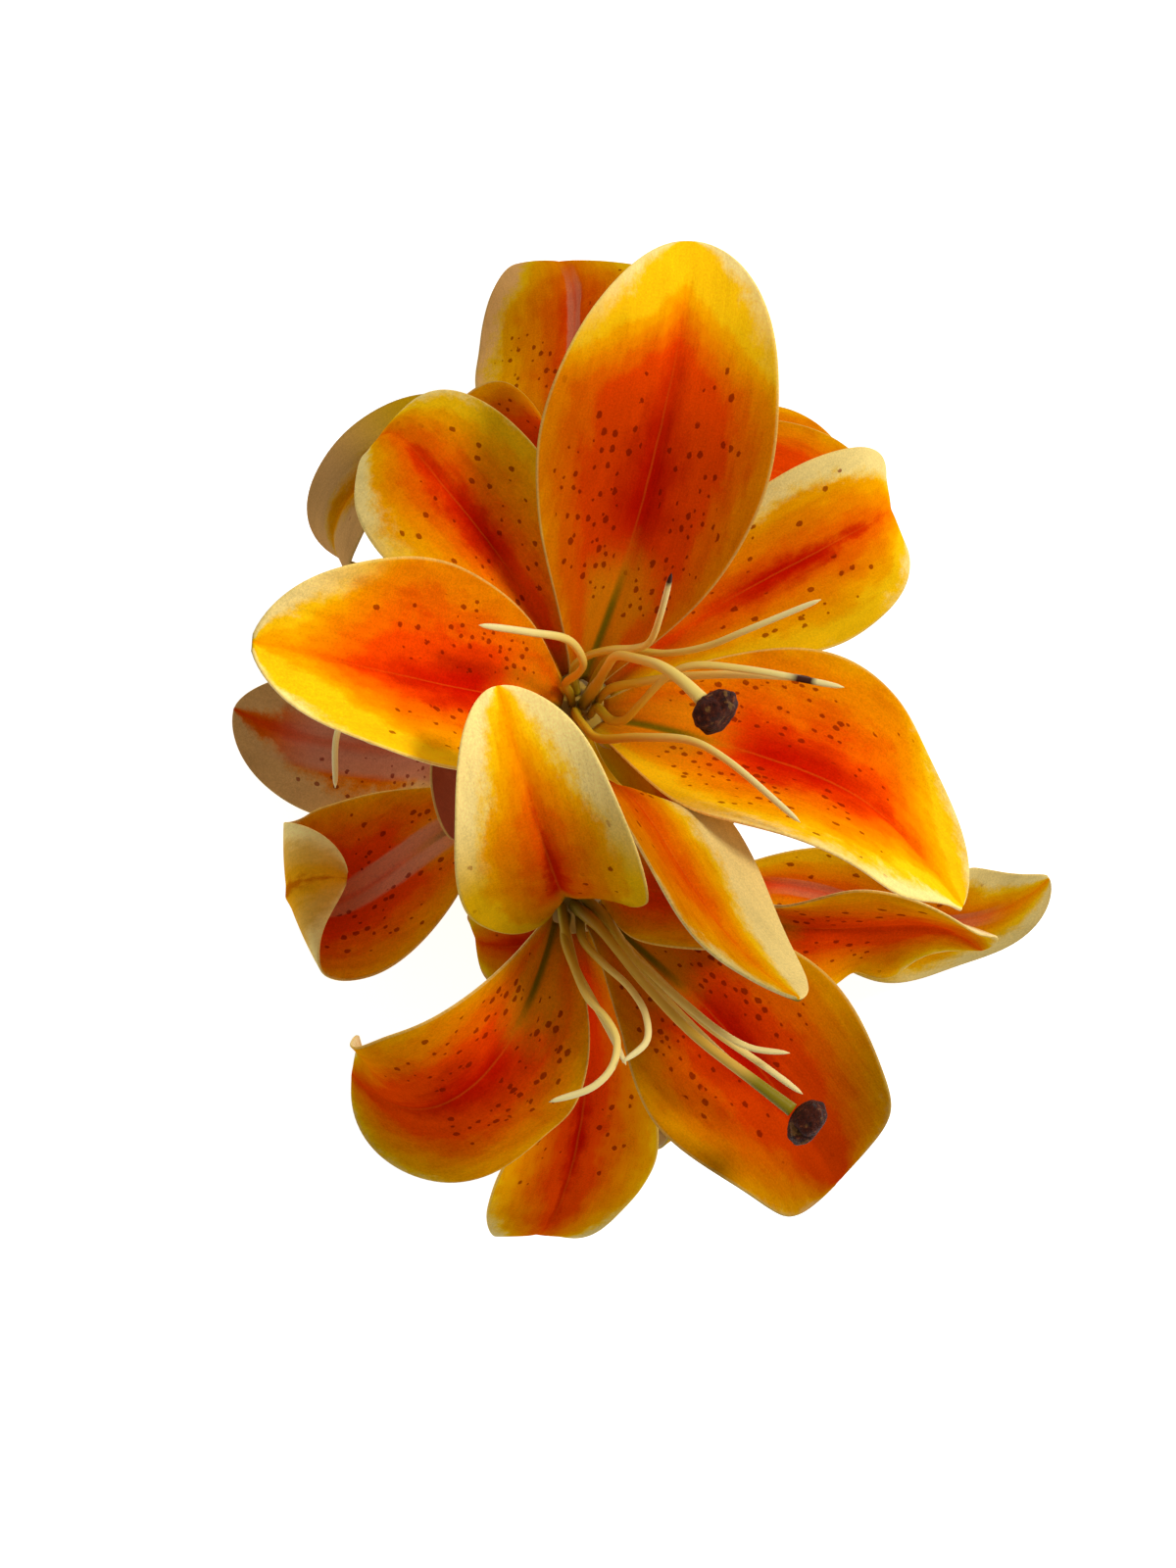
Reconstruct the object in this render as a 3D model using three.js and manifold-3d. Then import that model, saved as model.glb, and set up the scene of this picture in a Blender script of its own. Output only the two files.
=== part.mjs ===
// A tiger lily: one short cut stem that branches into five pedicels, each with an open bloom.
// It lies on a flat surface with its blooms facing up. Every bloom has three broad inner
// tepals, three narrower outer ones, six filaments and a pistil. Units are millimetres and
// degrees, +Z is up, and the origin is under the middle of the flower's bounding box, on
// the surface that it lies on.
import * as THREE from "three";
import { mergeVertices } from "three/addons/utils/BufferGeometryUtils.js";
import Module from "manifold-3d";

const wasm = await Module();
wasm.setup();

// ---- driving dimensions -------------------------------------------------------------

const TEPAL = {
  inner: { length: 112, width: 53, claw: 0.15, ring: 5.6, roundness: 0.58 },
  outer: { length: 108, width: 39, claw: 0.17, ring: 7.6, roundness: 0.66 },
};
const BLADE = 1.0; // thickness of a tepal
const WIDEST = 0.55; // share of a tepal's length at which it is widest
const TIP_WIDTH = 0.05; // share of the full width that is left at the rounded tip
const CREASE = 9; // angle between each half of a blade and its midrib, at the claw
const CLAW_CUP = 30; // how far a claw's edges lift, so that it follows the ring of claws
const RECURVED = [30, 75, 120, 170, 220]; // rise of a tepal that curls right back
const SHALLOW = [20, 15, 10, 5]; // cup of a tepal that curls right back
const ROWS = 11; // faces along a tepal
const COLUMNS = 6; // faces across a tepal, an even number so that one line is the midrib

const FILAMENT = { ring: 2.9, base: 1.0, tip: 0.6, sides: 5, steps: 10 };
const FILAMENT_RING = { inside: 2.0, outside: 3.5, height: 1.2, sides: 12 };
const STYLE = { ovary: 1.4, ovaryShare: 0.22, middle: 1.5, tip: 1.9, sides: 7, steps: 12 };
const STIGMA = { radius: 4.6, flatness: 0.78, lobes: 0.2, gap: 0.35 };

const STEM = { radius: 4.2, sides: 9, steps: 10 };
const PEDICEL = { radius: 2.8, receptacle: 8.6, receptacleShare: 0.16, sides: 8, steps: 9 };
const FORK = [0, 4, -100]; // where the pedicels leave the stem
const STEM_ROUTE = [
  [0, -100, -120.8],
  [0, -60, -121],
  [0, -20, -118],
];
const CLAW_GAP = 1.1; // from a receptacle's face to the plane that the claws start in

// ---- the blooms ---------------------------------------------------------------------
// base is the middle of the ring of claws and facing is the way that the bloom looks.
// For a tepal, turn is its place round the bloom, seen from the front, anticlockwise from
// the bloom's right-hand side. rise is the angle between the blade and the bloom's axis at
// five even steps from claw to tip, sway turns its course sideways at the middle and the
// tip, roll turns the blade about its own course at claw, middle and tip, and cup lifts its
// long edges at the last four of the five steps. stretch and broad scale a tepal's length
// and width. Filaments and styles that bend freely pass through points from the base.

const BLOOMS = [
  {
    name: "front",
    base: [-1, 18, 0],
    facing: [0.4, 0.28, 0.87],
    inner: [
      {
        turn: 85, rise: [30, 45, 60, 65, 90], cup: [25, 15, 20, 15],
        sway: [-5, 0], roll: [5, 25, 20], stretch: 0.92, broad: 0.98,
      },
      {
        turn: 195, rise: [35, 55, 65, 70, 80], cup: [40, 30, 35, 25],
        sway: [-15, -20], roll: [0, -5, 10], stretch: 0.9, broad: 0.94,
      },
      {
        turn: 320, rise: [30, 55, 70, 100, 95], cup: [20, 25, 10, 25],
        sway: [10, -15], roll: [-15, 15, 35], stretch: 0.88, broad: 1.12,
      },
    ],
    outer: [
      {
        turn: 35, rise: [45, 65, 80, 110, 165], cup: [30, 10, 0, 10],
        sway: [-10, 5], roll: [15, -15, -25], stretch: 0.96, broad: 1.06,
      },
      {
        turn: 120, rise: [60, 85, 100, 120, 200], cup: [40, 0, -15, -5],
        sway: [0, -20], roll: [-5, 20, 40], stretch: 0.78, broad: 1.08,
      },
      {
        turn: 251, rise: [75, 20, 70, 70, 40], cup: [-25, 15, 10, 0],
        sway: [35, 45], roll: [5, 30, 30], stretch: 0.92, broad: 1.1,
      },
    ],
    filaments: [
      { turn: 180, points: [
        [-3, 2, 6], [-4, 4, 14], [-1, 6, 23], [0, 8, 31],
        [-3, 12, 42], [-11, 13, 54], [-21, 14, 62],
      ] },
      { turn: 120, points: [
        [-2, 8, 10], [1, 10, 16], [6, 11, 23], [11, 11, 29],
        [14, 12, 36], [16, 17, 46], [18, 25, 56],
      ] },
      { turn: 60, points: [
        [5, 9, 10], [9, 11, 18], [18, 10, 28],
        [26, 11, 37], [34, 14, 44], [49, 20, 50],
      ] },
      { turn: 0, points: [[6, 3, 12], [12, 4, 20], [22, 5, 30], [34, 5, 38], [48, 4, 42]] },
      { turn: 300, points: [
        [3, -1, 6], [6, -4, 12], [9, -4, 17], [12, -1, 22],
        [18, 5, 30], [23, 7, 35], [34, 6, 41], [54, 2, 47],
      ] },
      { turn: 240, points: [
        [-2, -2, 6], [0, -5, 12], [3, -8, 18], [12, -8, 28],
        [23, -9, 37], [30, -13, 41], [45, -26, 46],
      ] },
    ],
    style: [[3, 4, 14], [5, 7, 27], [7, 9, 37], [11, 8, 46], [16, 6, 54], [20, 3, 58], [24, -1, 61]],
  },
  {
    name: "lower",
    base: [-3, -27, 8],
    facing: [0.2, -0.5, 0.84],
    inner: [
      {
        turn: 118, rise: [20, 40, 55, 95, 140], cup: [25, 25, 30, 15],
        sway: [-5, -10], roll: [-10, 15, -15], stretch: 0.88, broad: 0.74,
      },
      {
        turn: 225, rise: [25, 50, 105, 145, 165], cup: [30, -15, 0, 5],
        sway: [10, -20], roll: [-5, 0, -30], stretch: 0.82, broad: 0.9,
      },
      {
        turn: 340, rise: [40, 50, 50, 75, 120], cup: [35, 0, 40, 5],
        sway: [-20, -40], roll: [0, 15, 20], stretch: 0.78, broad: 0.94,
      },
    ],
    outer: [
      {
        turn: 60, rise: [25, 45, 90, 155, 225], cup: [10, 25, 40, -30],
        sway: [-65, -80], roll: [35, 45, 55], stretch: 0.5, broad: 0.71,
      },
      {
        turn: 140, rise: [20, 80, 160, 220, 270],
        sway: [-60, -30], roll: [0, -30, 0], stretch: 0.7, broad: 0.7,
      },
      {
        turn: 280, rise: [55, 85, 100, 115, 160], cup: [30, 15, -10, 5],
        sway: [-10, -15], roll: [0, 5, 0], stretch: 1.02, broad: 0.98,
      },
    ],
    filaments: [
      { turn: 240, points: [
        [-2, -7, 12], [0, -12, 22], [3, -18, 30], [7, -22, 36],
        [9, -26, 40], [8, -31, 43], [4, -35, 45], [-5, -38, 46],
      ] },
      { turn: 300, points: [
        [2, -7, 12], [6, -11, 22], [12, -16, 32],
        [15, -21, 38], [15, -26, 42], [10, -30, 45],
      ] },
      { turn: 30, points: [
        [8, -6, 11], [16, -13, 20], [23, -19, 27],
        [31, -25, 33], [37, -28, 35], [45, -29, 36],
      ] },
      { turn: 350, points: [[7, -4, 6], [15, -12, 14], [28, -24, 24], [41, -33, 30], [48, -38, 32]] },
      { turn: 180, points: [[-2, -5, 9], [0, -12, 16], [4, -19, 23], [8, -26, 28], [11, -32, 31]] },
      { turn: 60, points: [[6, -1, 8], [11, -8, 15], [18, -17, 22], [27, -26, 28], [36, -34, 32]] },
    ],
    style: [[5, -3.5, 17], [9, -8, 24], [15, -15, 31], [25, -25, 38], [37, -34, 42], [45, -40, 43]],
  },
  {
    name: "left",
    base: [-15, 0, -72],
    facing: [-0.5, 0.25, 0.83],
    inner: [
      {
        turn: 218, rise: [60, 85, 80, -25, -165], cup: [0, 15, 10, 5],
        sway: [-5, -25], roll: [15, 10, -15], stretch: 0.82, broad: 0.9,
      },
      {
        turn: 330, rise: [30, 20, 10, 15, 30], cup: [50, 30, 20, 40],
        sway: [30, 30], roll: [-5, 5, -5], stretch: 0.8, broad: 0.76,
      },
      { turn: 55, rise: [50, 120, 180, 225, 270], stretch: 0.85, broad: 0.65 },
    ],
    outer: [
      {
        turn: 164, rise: [40, 108, 90, 88, 85], cup: [10, -10, 0, 20],
        sway: [10, -8], roll: [10, 12, 12], stretch: 0.87, broad: 1.02,
      },
      {
        turn: 270, rise: [90, 125, 155, 190, 230], cup: [30, 20, 5, 10],
        sway: [0, 5], roll: [0, 0, -5], stretch: 0.78, broad: 0.7,
      },
      {
        turn: 105, rise: [30, 80, 130, 170, 210],
        sway: [5, 0], roll: [0, 5, 0], stretch: 0.93, broad: 0.84,
      },
    ],
    filaments: [{ turn: 180, points: [
      [-12, 6, 12], [-27, 13, 34], [-40, 17, 50], [-43, 12, 53], [-44, -1, 48],
    ] }],
    stamenReach: 66,
    styleReach: 64,
  },
  {
    name: "right",
    base: [24, -26, -62],
    facing: [0.45, -0.05, 0.88],
    inner: [
      {
        turn: 325, rise: [30, 35, 65, 100, 100], cup: [70, -5, 40, 0],
        sway: [40, 5], roll: [5, -50, -70], stretch: 0.74, broad: 0.72,
      },
      { turn: 106, stretch: 0.52, broad: 0.7 },
      { turn: 240, stretch: 0.8, broad: 0.75 },
    ],
    outer: [
      {
        turn: 365, rise: [70, 85, 90, 80, 80], cup: [5, 40, -15, 25],
        sway: [-20, 40], roll: [10, -35, -15], stretch: 0.92, broad: 0.94,
      },
      { turn: 195, stretch: 0.7, broad: 0.6 },
      {
        turn: 285, rise: [70, 95, 125, 165, 205],
        sway: [0, 5], roll: [-10, -5, 0], stretch: 0.86, broad: 0.76,
      },
    ],
    stamenReach: 24,
    styleReach: 22,
  },
  {
    name: "top",
    base: [0, 62, -66],
    facing: [0.3, 0.75, 0.6],
    inner: [
      {
        turn: 95, rise: [45, 60, 65, 85, 145], cup: [10, -5, -25, -15],
        sway: [-20, -10], roll: [-10, 45, 0], stretch: 0.84, broad: 1.04,
      },
      {
        turn: 195, rise: [15, 35, 80, 135, 190], cup: [30, 20, 10, 5],
        sway: [25, -5], roll: [-15, 5, 5], stretch: 0.92, broad: 0.72,
      },
      {
        turn: 360, rise: [20, 50, 90, 130, 180],
        sway: [-30, -15], roll: [10, 0, -10], stretch: 0.9, broad: 0.72,
      },
    ],
    outer: [
      {
        turn: 185, rise: [30, 55, 110, 168, 262], cup: [20, 25, 0, 20],
        sway: [-6, 8], roll: [-5, -12, 5], stretch: 0.98, broad: 0.92,
      },
      {
        turn: 20, rise: [65, 65, 90, 125, 145], cup: [35, 10, 10, 5],
        sway: [-20, -5], roll: [-5, -10, 5], stretch: 0.95, broad: 0.96,
      },
      {
        turn: 265, rise: [20, 70, 120, 170, 220], cup: [30, 15, 10, 5],
        roll: [-5, 0, 0], stretch: 0.84, broad: 0.84,
      },
    ],
    stamenReach: 66,
    styleReach: 64,
  },
];

// ---- curves through a few stations --------------------------------------------------

const radians = THREE.MathUtils.degToRad;
const vector = (point) => new THREE.Vector3(...point);

// The value at share s of a smooth run through evenly spaced values.
function through(values, s) {
  const last = values.length - 1;
  const place = THREE.MathUtils.clamp(s, 0, 1) * last;
  const i = Math.min(Math.floor(place), last - 1);
  const at = (k) => values[THREE.MathUtils.clamp(k, 0, last)];
  const t = place - i;
  const slopeHere = (at(i + 1) - at(i - 1)) / (i > 0 ? 2 : 1);
  const slopeNext = (at(i + 2) - at(i)) / (i + 2 <= last ? 2 : 1);
  const ease = 3 * t ** 2 - 2 * t ** 3;
  const value = at(i) * (1 - ease) + at(i + 1) * ease;
  return value + slopeHere * (t ** 3 - 2 * t ** 2 + t) + slopeNext * (t ** 3 - t ** 2);
}

// The half width of a tepal at share s of its length.
function halfWidth(kind, tepal, s) {
  const { width, claw, roundness } = TEPAL[kind];
  const full = (width / 2) * (tepal.broad ?? 1);
  if (s < WIDEST) {
    return full * (claw + (1 - claw) * Math.sin((Math.PI / 2) * (s / WIDEST)) ** 1.25);
  }
  const beyond = Math.min((s - WIDEST) / (1 - WIDEST), 1);
  return full * Math.max(TIP_WIDTH, (1 - beyond ** 2) ** roundness);
}

// ---- a bloom's frame ----------------------------------------------------------------

const Y_AXIS = new THREE.Vector3(0, 1, 0);

function bloomFrame(bloom) {
  const axis = vector(bloom.facing).normalize();
  const side = new THREE.Vector3().crossVectors(Y_AXIS, axis).normalize();
  const top = new THREE.Vector3().crossVectors(axis, side);
  return { base: vector(bloom.base), axis, side, top };
}

// The unit direction away from the bloom's axis at an angle round it, in radians.
function outward(frame, turn) {
  return frame.side.clone().multiplyScalar(Math.cos(turn)).addScaledVector(frame.top, Math.sin(turn));
}

// A point beside the bloom's axis.
function besideAxis(frame, along, turn, radius) {
  const point = frame.base.clone().addScaledVector(frame.axis, along);
  return point.addScaledVector(outward(frame, turn), radius);
}

// ---- tepals -------------------------------------------------------------------------

const COURSE_STEPS = 60;

// The course of a tepal's midrib: points with the blade's side and front directions.
function midribCourse(frame, kind, tepal) {
  const reach = TEPAL[kind].length * (tepal.stretch ?? 1);
  const sway = [0, ...(tepal.sway ?? [0, 0])];
  const roll = tepal.roll ?? [0, 0, 0];
  const point = besideAxis(frame, 0, radians(tepal.turn), TEPAL[kind].ring);
  const course = [];
  for (let i = 0; i <= COURSE_STEPS; i++) {
    const s = i / COURSE_STEPS;
    const turn = radians(tepal.turn + through(sway, s));
    const rise = radians(through(tepal.rise ?? RECURVED, s));
    const ahead = frame.axis.clone().multiplyScalar(Math.cos(rise));
    ahead.addScaledVector(outward(frame, turn), Math.sin(rise));
    const across = outward(frame, turn - Math.PI / 2);
    const front = new THREE.Vector3().crossVectors(across, ahead);
    const side = across.applyAxisAngle(ahead, -radians(through(roll, s)));
    front.applyAxisAngle(ahead, -radians(through(roll, s)));
    course.push({ point: point.clone(), side, front });
    point.addScaledVector(ahead, reach / COURSE_STEPS);
  }
  return course;
}

// A point of the blade's middle surface: s runs from claw to tip and v across, -1 to 1.
function bladePoint(course, kind, tepal, s, v) {
  const place = THREE.MathUtils.clamp(s, 0, 1) * COURSE_STEPS;
  const i = Math.min(Math.floor(place), COURSE_STEPS - 1);
  const mix = (key) => course[i][key].clone().lerp(course[i + 1][key], place - i);
  const cup = radians(through([CLAW_CUP, ...(tepal.cup ?? SHALLOW)], s));
  const crease = radians(CREASE) * (1 - 0.6 * s);
  const parts = 8;
  const step = (Math.abs(v) * halfWidth(kind, tepal, s)) / parts;
  let [x, y] = [0, 0];
  for (let k = 0; k < parts; k++) {
    const slope = crease + cup * Math.abs(v) * ((k + 0.5) / parts);
    x += Math.cos(slope) * step;
    y += Math.sin(slope) * step;
  }
  const point = mix("point").addScaledVector(mix("side").normalize(), Math.sign(v) * x);
  return point.addScaledVector(mix("front").normalize(), y);
}

// The blade's front and back surfaces as two grids of points, half its thickness apart
// from its middle surface each. Rows lie closer together towards the rounded tip.
function bladeGrids(course, kind, tepal) {
  const at = (s, v) => bladePoint(course, kind, tepal, s, v);
  const [front, back] = [[], []];
  for (let i = 0; i <= ROWS; i++) {
    const s = 0.998 * (1 - (1 - i / ROWS) ** 1.25);
    for (let j = 0; j <= COLUMNS; j++) {
      const v = (2 * j) / COLUMNS - 1;
      const along = at(Math.min(s + 0.004, 1), v).sub(at(Math.max(s - 0.004, 0), v));
      const across = at(s, Math.min(v + 0.05, 1)).sub(at(s, Math.max(v - 0.05, -1)));
      const normal = across.cross(along).normalize();
      front.push(at(s, v).addScaledVector(normal, BLADE / 2));
      back.push(at(s, v).addScaledVector(normal, -BLADE / 2));
    }
  }
  return { front, back };
}

// The numbers of the grid points round a blade's edge, anticlockwise seen from the front.
function rimOfGrid(cell) {
  const rim = [];
  for (let j = 0; j < COLUMNS; j++) rim.push(cell(0, j));
  for (let i = 0; i < ROWS; i++) rim.push(cell(i, COLUMNS));
  for (let j = COLUMNS; j > 0; j--) rim.push(cell(ROWS, j));
  for (let i = ROWS; i > 0; i--) rim.push(cell(i, 0));
  return rim;
}

function tepalGeometry(frame, kind, tepal) {
  const { front, back } = bladeGrids(midribCourse(frame, kind, tepal), kind, tepal);
  const count = front.length;
  const cell = (i, j) => i * (COLUMNS + 1) + j;
  const faces = [];
  for (let i = 0; i < ROWS; i++) {
    for (let j = 0; j < COLUMNS; j++) {
      const [a, b, c, d] = [cell(i, j), cell(i, j + 1), cell(i + 1, j + 1), cell(i + 1, j)];
      const halves = j < COLUMNS / 2 ? [[a, b, c], [a, c, d]] : [[a, b, d], [b, c, d]];
      for (const [p, q, r] of halves) faces.push(p, q, r, count + p, count + r, count + q);
    }
  }
  const rim = rimOfGrid(cell);
  rim.forEach((a, k) => {
    const b = rim[(k + 1) % rim.length];
    faces.push(b, a, count + a, b, count + a, count + b);
  });
  return indexedGeometry([...front, ...back], faces);
}

function indexedGeometry(points, faces) {
  const geometry = new THREE.BufferGeometry();
  const positions = points.flatMap((point) => point.toArray());
  geometry.setAttribute("position", new THREE.Float32BufferAttribute(positions, 3));
  geometry.setIndex(faces);
  return geometry;
}

// ---- round limbs: filaments, styles, pedicels and the stem --------------------------

// A closed tube along a curve whose radius follows radiusAt(share of its length).
function limbGeometry(curve, radiusAt, { sides, steps }) {
  const frames = curve.computeFrenetFrames(steps, false);
  const points = [];
  const faces = [];
  for (let i = 0; i <= steps; i++) {
    for (let j = 0; j < sides; j++) {
      const angle = (2 * Math.PI * j) / sides;
      const rim = frames.normals[i].clone().multiplyScalar(Math.cos(angle));
      rim.addScaledVector(frames.binormals[i], Math.sin(angle));
      points.push(curve.getPointAt(i / steps).addScaledVector(rim, radiusAt(i / steps)));
    }
  }
  for (let i = 0; i < steps; i++) {
    for (let j = 0; j < sides; j++) {
      const [a, b] = [i * sides + j, i * sides + ((j + 1) % sides)];
      faces.push(a, b, b + sides, a, b + sides, a + sides);
    }
  }
  for (let j = 1; j < sides - 1; j++) {
    faces.push(0, j + 1, j, steps * sides, steps * sides + j, steps * sides + j + 1);
  }
  return indexedGeometry(points, faces);
}

// ---- joining solids -----------------------------------------------------------------

function solidOf(geometry) {
  const plain = geometry.clone();
  plain.deleteAttribute("normal");
  plain.deleteAttribute("uv");
  const merged = mergeVertices(plain);
  const vertProperties = new Float32Array(merged.attributes.position.array);
  const triVerts = new Uint32Array(merged.index.array);
  return new wasm.Manifold(new wasm.Mesh({ numProp: 3, vertProperties, triVerts }));
}

function joinedGeometry(geometries) {
  const joined = geometries.map(solidOf).reduce((sum, solid) => sum.add(solid));
  const { vertProperties, triVerts } = joined.getMesh();
  const geometry = new THREE.BufferGeometry();
  geometry.setAttribute("position", new THREE.BufferAttribute(vertProperties, 3));
  geometry.setIndex(new THREE.BufferAttribute(triVerts, 1));
  return geometry;
}

// ---- stamens and pistils ------------------------------------------------------------

// The six filaments of a bloom: listed ones bend freely, the others fan out evenly.
function filamentRoutes(bloom, frame) {
  const listed = bloom.filaments ?? [];
  const routes = listed.map(({ turn, points }) => {
    const root = besideAxis(frame, 0, radians(turn), FILAMENT.ring);
    return [root, ...points.map((point) => vector(point).add(frame.base))];
  });
  for (let k = listed.length; k < 6; k++) {
    const turn = radians(60 * k + (listed[0]?.turn ?? 30));
    const reach = bloom.stamenReach;
    const spread = (share) => FILAMENT.ring + 4.5 * share ** 2;
    routes.push([0, 0.35, 0.7, 1].map((share) => besideAxis(frame, reach * share, turn, spread(share))));
  }
  return routes;
}

// The low ring that holds the roots of the filaments together.
function filamentRing(frame) {
  const { inside, outside, height, sides } = FILAMENT_RING;
  const [low, high] = [-height / 2, height / 2];
  const corners = [[inside, low], [outside, low], [outside, high], [inside, high], [inside, low]];
  const profile = corners.map(([x, y]) => new THREE.Vector2(x, y));
  const ring = new THREE.LatheGeometry(profile, sides);
  ring.applyQuaternion(new THREE.Quaternion().setFromUnitVectors(Y_AXIS, frame.axis));
  return ring.translate(...frame.base);
}

function stamensGeometry(bloom, frame) {
  const radiusAt = (t) => THREE.MathUtils.lerp(FILAMENT.base, FILAMENT.tip, t);
  const filaments = filamentRoutes(bloom, frame).map((route) =>
    limbGeometry(new THREE.CatmullRomCurve3(route), radiusAt, FILAMENT),
  );
  return joinedGeometry([filamentRing(frame), ...filaments]);
}

function styleCurve(bloom, frame) {
  const free = bloom.style?.map((point) => vector(point).add(frame.base));
  const straight = [0.5, 1].map((share) => besideAxis(frame, share * bloom.styleReach, 0, 0));
  return new THREE.CatmullRomCurve3([frame.base.clone(), ...(free ?? straight)]);
}

function pistilGeometry(bloom, frame) {
  const radiusAt = (t) => {
    if (t < STYLE.ovaryShare) return STYLE.ovary;
    const beyond = (t - STYLE.ovaryShare) / (1 - STYLE.ovaryShare);
    return THREE.MathUtils.lerp(STYLE.middle, STYLE.tip, beyond ** 4);
  };
  return limbGeometry(styleCurve(bloom, frame), radiusAt, STYLE);
}

// The stigma is a flattened knob with three lobes, just past the end of the style.
function stigmaGeometry(bloom, frame) {
  const curve = styleCurve(bloom, frame);
  const knob = new THREE.SphereGeometry(1, 12, 6);
  const place = knob.attributes.position;
  for (let i = 0; i < place.count; i++) {
    const angle = Math.atan2(place.getZ(i), place.getX(i));
    const swell = STIGMA.radius * (1 + STIGMA.lobes * Math.cos(3 * angle));
    const height = place.getY(i) * STIGMA.radius * STIGMA.flatness;
    place.setXYZ(i, place.getX(i) * swell, height, place.getZ(i) * swell);
  }
  const end = curve.getPointAt(1);
  const ahead = curve.getTangentAt(1);
  const away = STIGMA.radius * STIGMA.flatness + STIGMA.gap;
  knob.applyQuaternion(new THREE.Quaternion().setFromUnitVectors(Y_AXIS, ahead));
  return knob.translate(...end.addScaledVector(ahead, away));
}

// ---- stem ---------------------------------------------------------------------------

function pedicelCurve(frame) {
  const fork = vector(FORK);
  const end = besideAxis(frame, -CLAW_GAP, 0, 0);
  const away = end.clone().sub(fork);
  const start = away.clone().normalize().add(new THREE.Vector3(0, 0, 0.6)).normalize();
  const first = fork.clone().addScaledVector(start, 0.35 * away.length());
  const second = end.clone().addScaledVector(frame.axis, -0.3 * away.length());
  return new THREE.CubicBezierCurve3(fork, first, second, end);
}

// The stem, the pedicels and the receptacles that the blooms sit on, as they grew.
function stemGeometry() {
  const [cut, low, bend] = STEM_ROUTE.map(vector);
  const stem = new THREE.CubicBezierCurve3(cut, low, bend, vector(FORK));
  const knot = new THREE.IcosahedronGeometry(STEM.radius * 1.25, 1).translate(...FORK);
  const receptacle = (t) => {
    const flare = THREE.MathUtils.smoothstep(t, 1 - PEDICEL.receptacleShare, 1);
    return THREE.MathUtils.lerp(PEDICEL.radius, PEDICEL.receptacle, flare);
  };
  const pedicels = BLOOMS.map(bloomFrame).map((frame) => {
    return limbGeometry(pedicelCurve(frame), receptacle, PEDICEL);
  });
  return joinedGeometry([limbGeometry(stem, () => STEM.radius, STEM), knot, ...pedicels]);
}

// ---- the flower ---------------------------------------------------------------------

const matte = (color, roughness) => new THREE.MeshStandardMaterial({ color, roughness, metalness: 0 });

const flower = new THREE.Group();

function addPiece(name, geometry, material) {
  const mesh = new THREE.Mesh(geometry, material);
  mesh.name = name;
  flower.add(mesh);
}

addPiece("stem", stemGeometry(), matte(0x6f8a3a, 0.6));
for (const bloom of BLOOMS) {
  const frame = bloomFrame(bloom);
  for (const kind of ["inner", "outer"]) {
    const colour = kind === "inner" ? 0xf08a12 : 0xe88a20;
    bloom[kind].forEach((tepal, i) => {
      const geometry = tepalGeometry(frame, kind, tepal);
      addPiece(`${bloom.name}_${kind}_tepal_${i + 1}`, geometry, matte(colour, 0.5));
    });
  }
  addPiece(`${bloom.name}_stamens`, stamensGeometry(bloom, frame), matte(0xe9c070, 0.5));
  addPiece(`${bloom.name}_pistil`, pistilGeometry(bloom, frame), matte(0xc9b04a, 0.5));
  addPiece(`${bloom.name}_stigma`, stigmaGeometry(bloom, frame), matte(0x3a2412, 0.8));
}

// Stand the flower on the surface, with the middle of its box over the origin.
const box = new THREE.Box3().setFromObject(flower);
const middle = box.getCenter(new THREE.Vector3());
flower.position.set(-middle.x, -middle.y, -box.min.z);

export default flower;
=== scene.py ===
import math
from types import SimpleNamespace

import bpy
import numpy as np
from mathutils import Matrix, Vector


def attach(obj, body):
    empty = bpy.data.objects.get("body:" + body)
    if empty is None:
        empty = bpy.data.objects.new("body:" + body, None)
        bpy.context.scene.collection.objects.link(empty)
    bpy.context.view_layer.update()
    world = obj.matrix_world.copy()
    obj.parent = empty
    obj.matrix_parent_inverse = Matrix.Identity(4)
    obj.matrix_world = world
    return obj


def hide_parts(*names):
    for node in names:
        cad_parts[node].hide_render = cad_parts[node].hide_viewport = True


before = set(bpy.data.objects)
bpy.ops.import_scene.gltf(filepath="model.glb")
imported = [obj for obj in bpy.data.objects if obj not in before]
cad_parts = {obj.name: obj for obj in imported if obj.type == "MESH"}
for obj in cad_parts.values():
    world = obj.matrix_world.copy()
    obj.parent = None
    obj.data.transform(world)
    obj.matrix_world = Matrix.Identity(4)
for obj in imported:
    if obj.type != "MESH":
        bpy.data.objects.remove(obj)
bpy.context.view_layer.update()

# The flower's own dimensions and courses are in millimetres and degrees, in the frame in which
# its blooms were laid out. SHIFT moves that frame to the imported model's.
MM = 0.001
SHIFT = np.array([-12.19, -13.93, 124.94])

# ---- driving dimensions, as the solids have them ------------------------------------

TEPAL = {
    "inner": dict(length=112, width=53, claw=0.15, ring=5.6, roundness=0.58),
    "outer": dict(length=108, width=39, claw=0.17, ring=7.6, roundness=0.66),
}
WIDEST = 0.55  # share of a tepal's length at which it is widest
WIDENING = 1.25  # how late a tepal widens between its claw and there
TIP_WIDTH = 0.05  # share of the full width that is left at the rounded tip
CREASE = 9  # angle between each half of a blade and its midrib, at the claw
CREASE_FADE = 0.6  # share of the crease that is gone at the tip
CLAW_CUP = 30  # how far a claw's edges lift, so that it follows the ring of claws
RECURVED = [30, 75, 120, 170, 220]  # rise of a tepal that curls right back
SHALLOW = [20, 15, 10, 5]  # cup of a tepal that curls right back
FILAMENTS = 6  # in each bloom
FILAMENT_RING = 2.9
CLOSED_BUNCH = dict(first=30, fan=4.5)  # direction of its first filament, and how far its tips spread
STIGMA = dict(radius=4.6, flatness=0.78, gap=0.35)
STEM_RADIUS = 4.2
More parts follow.
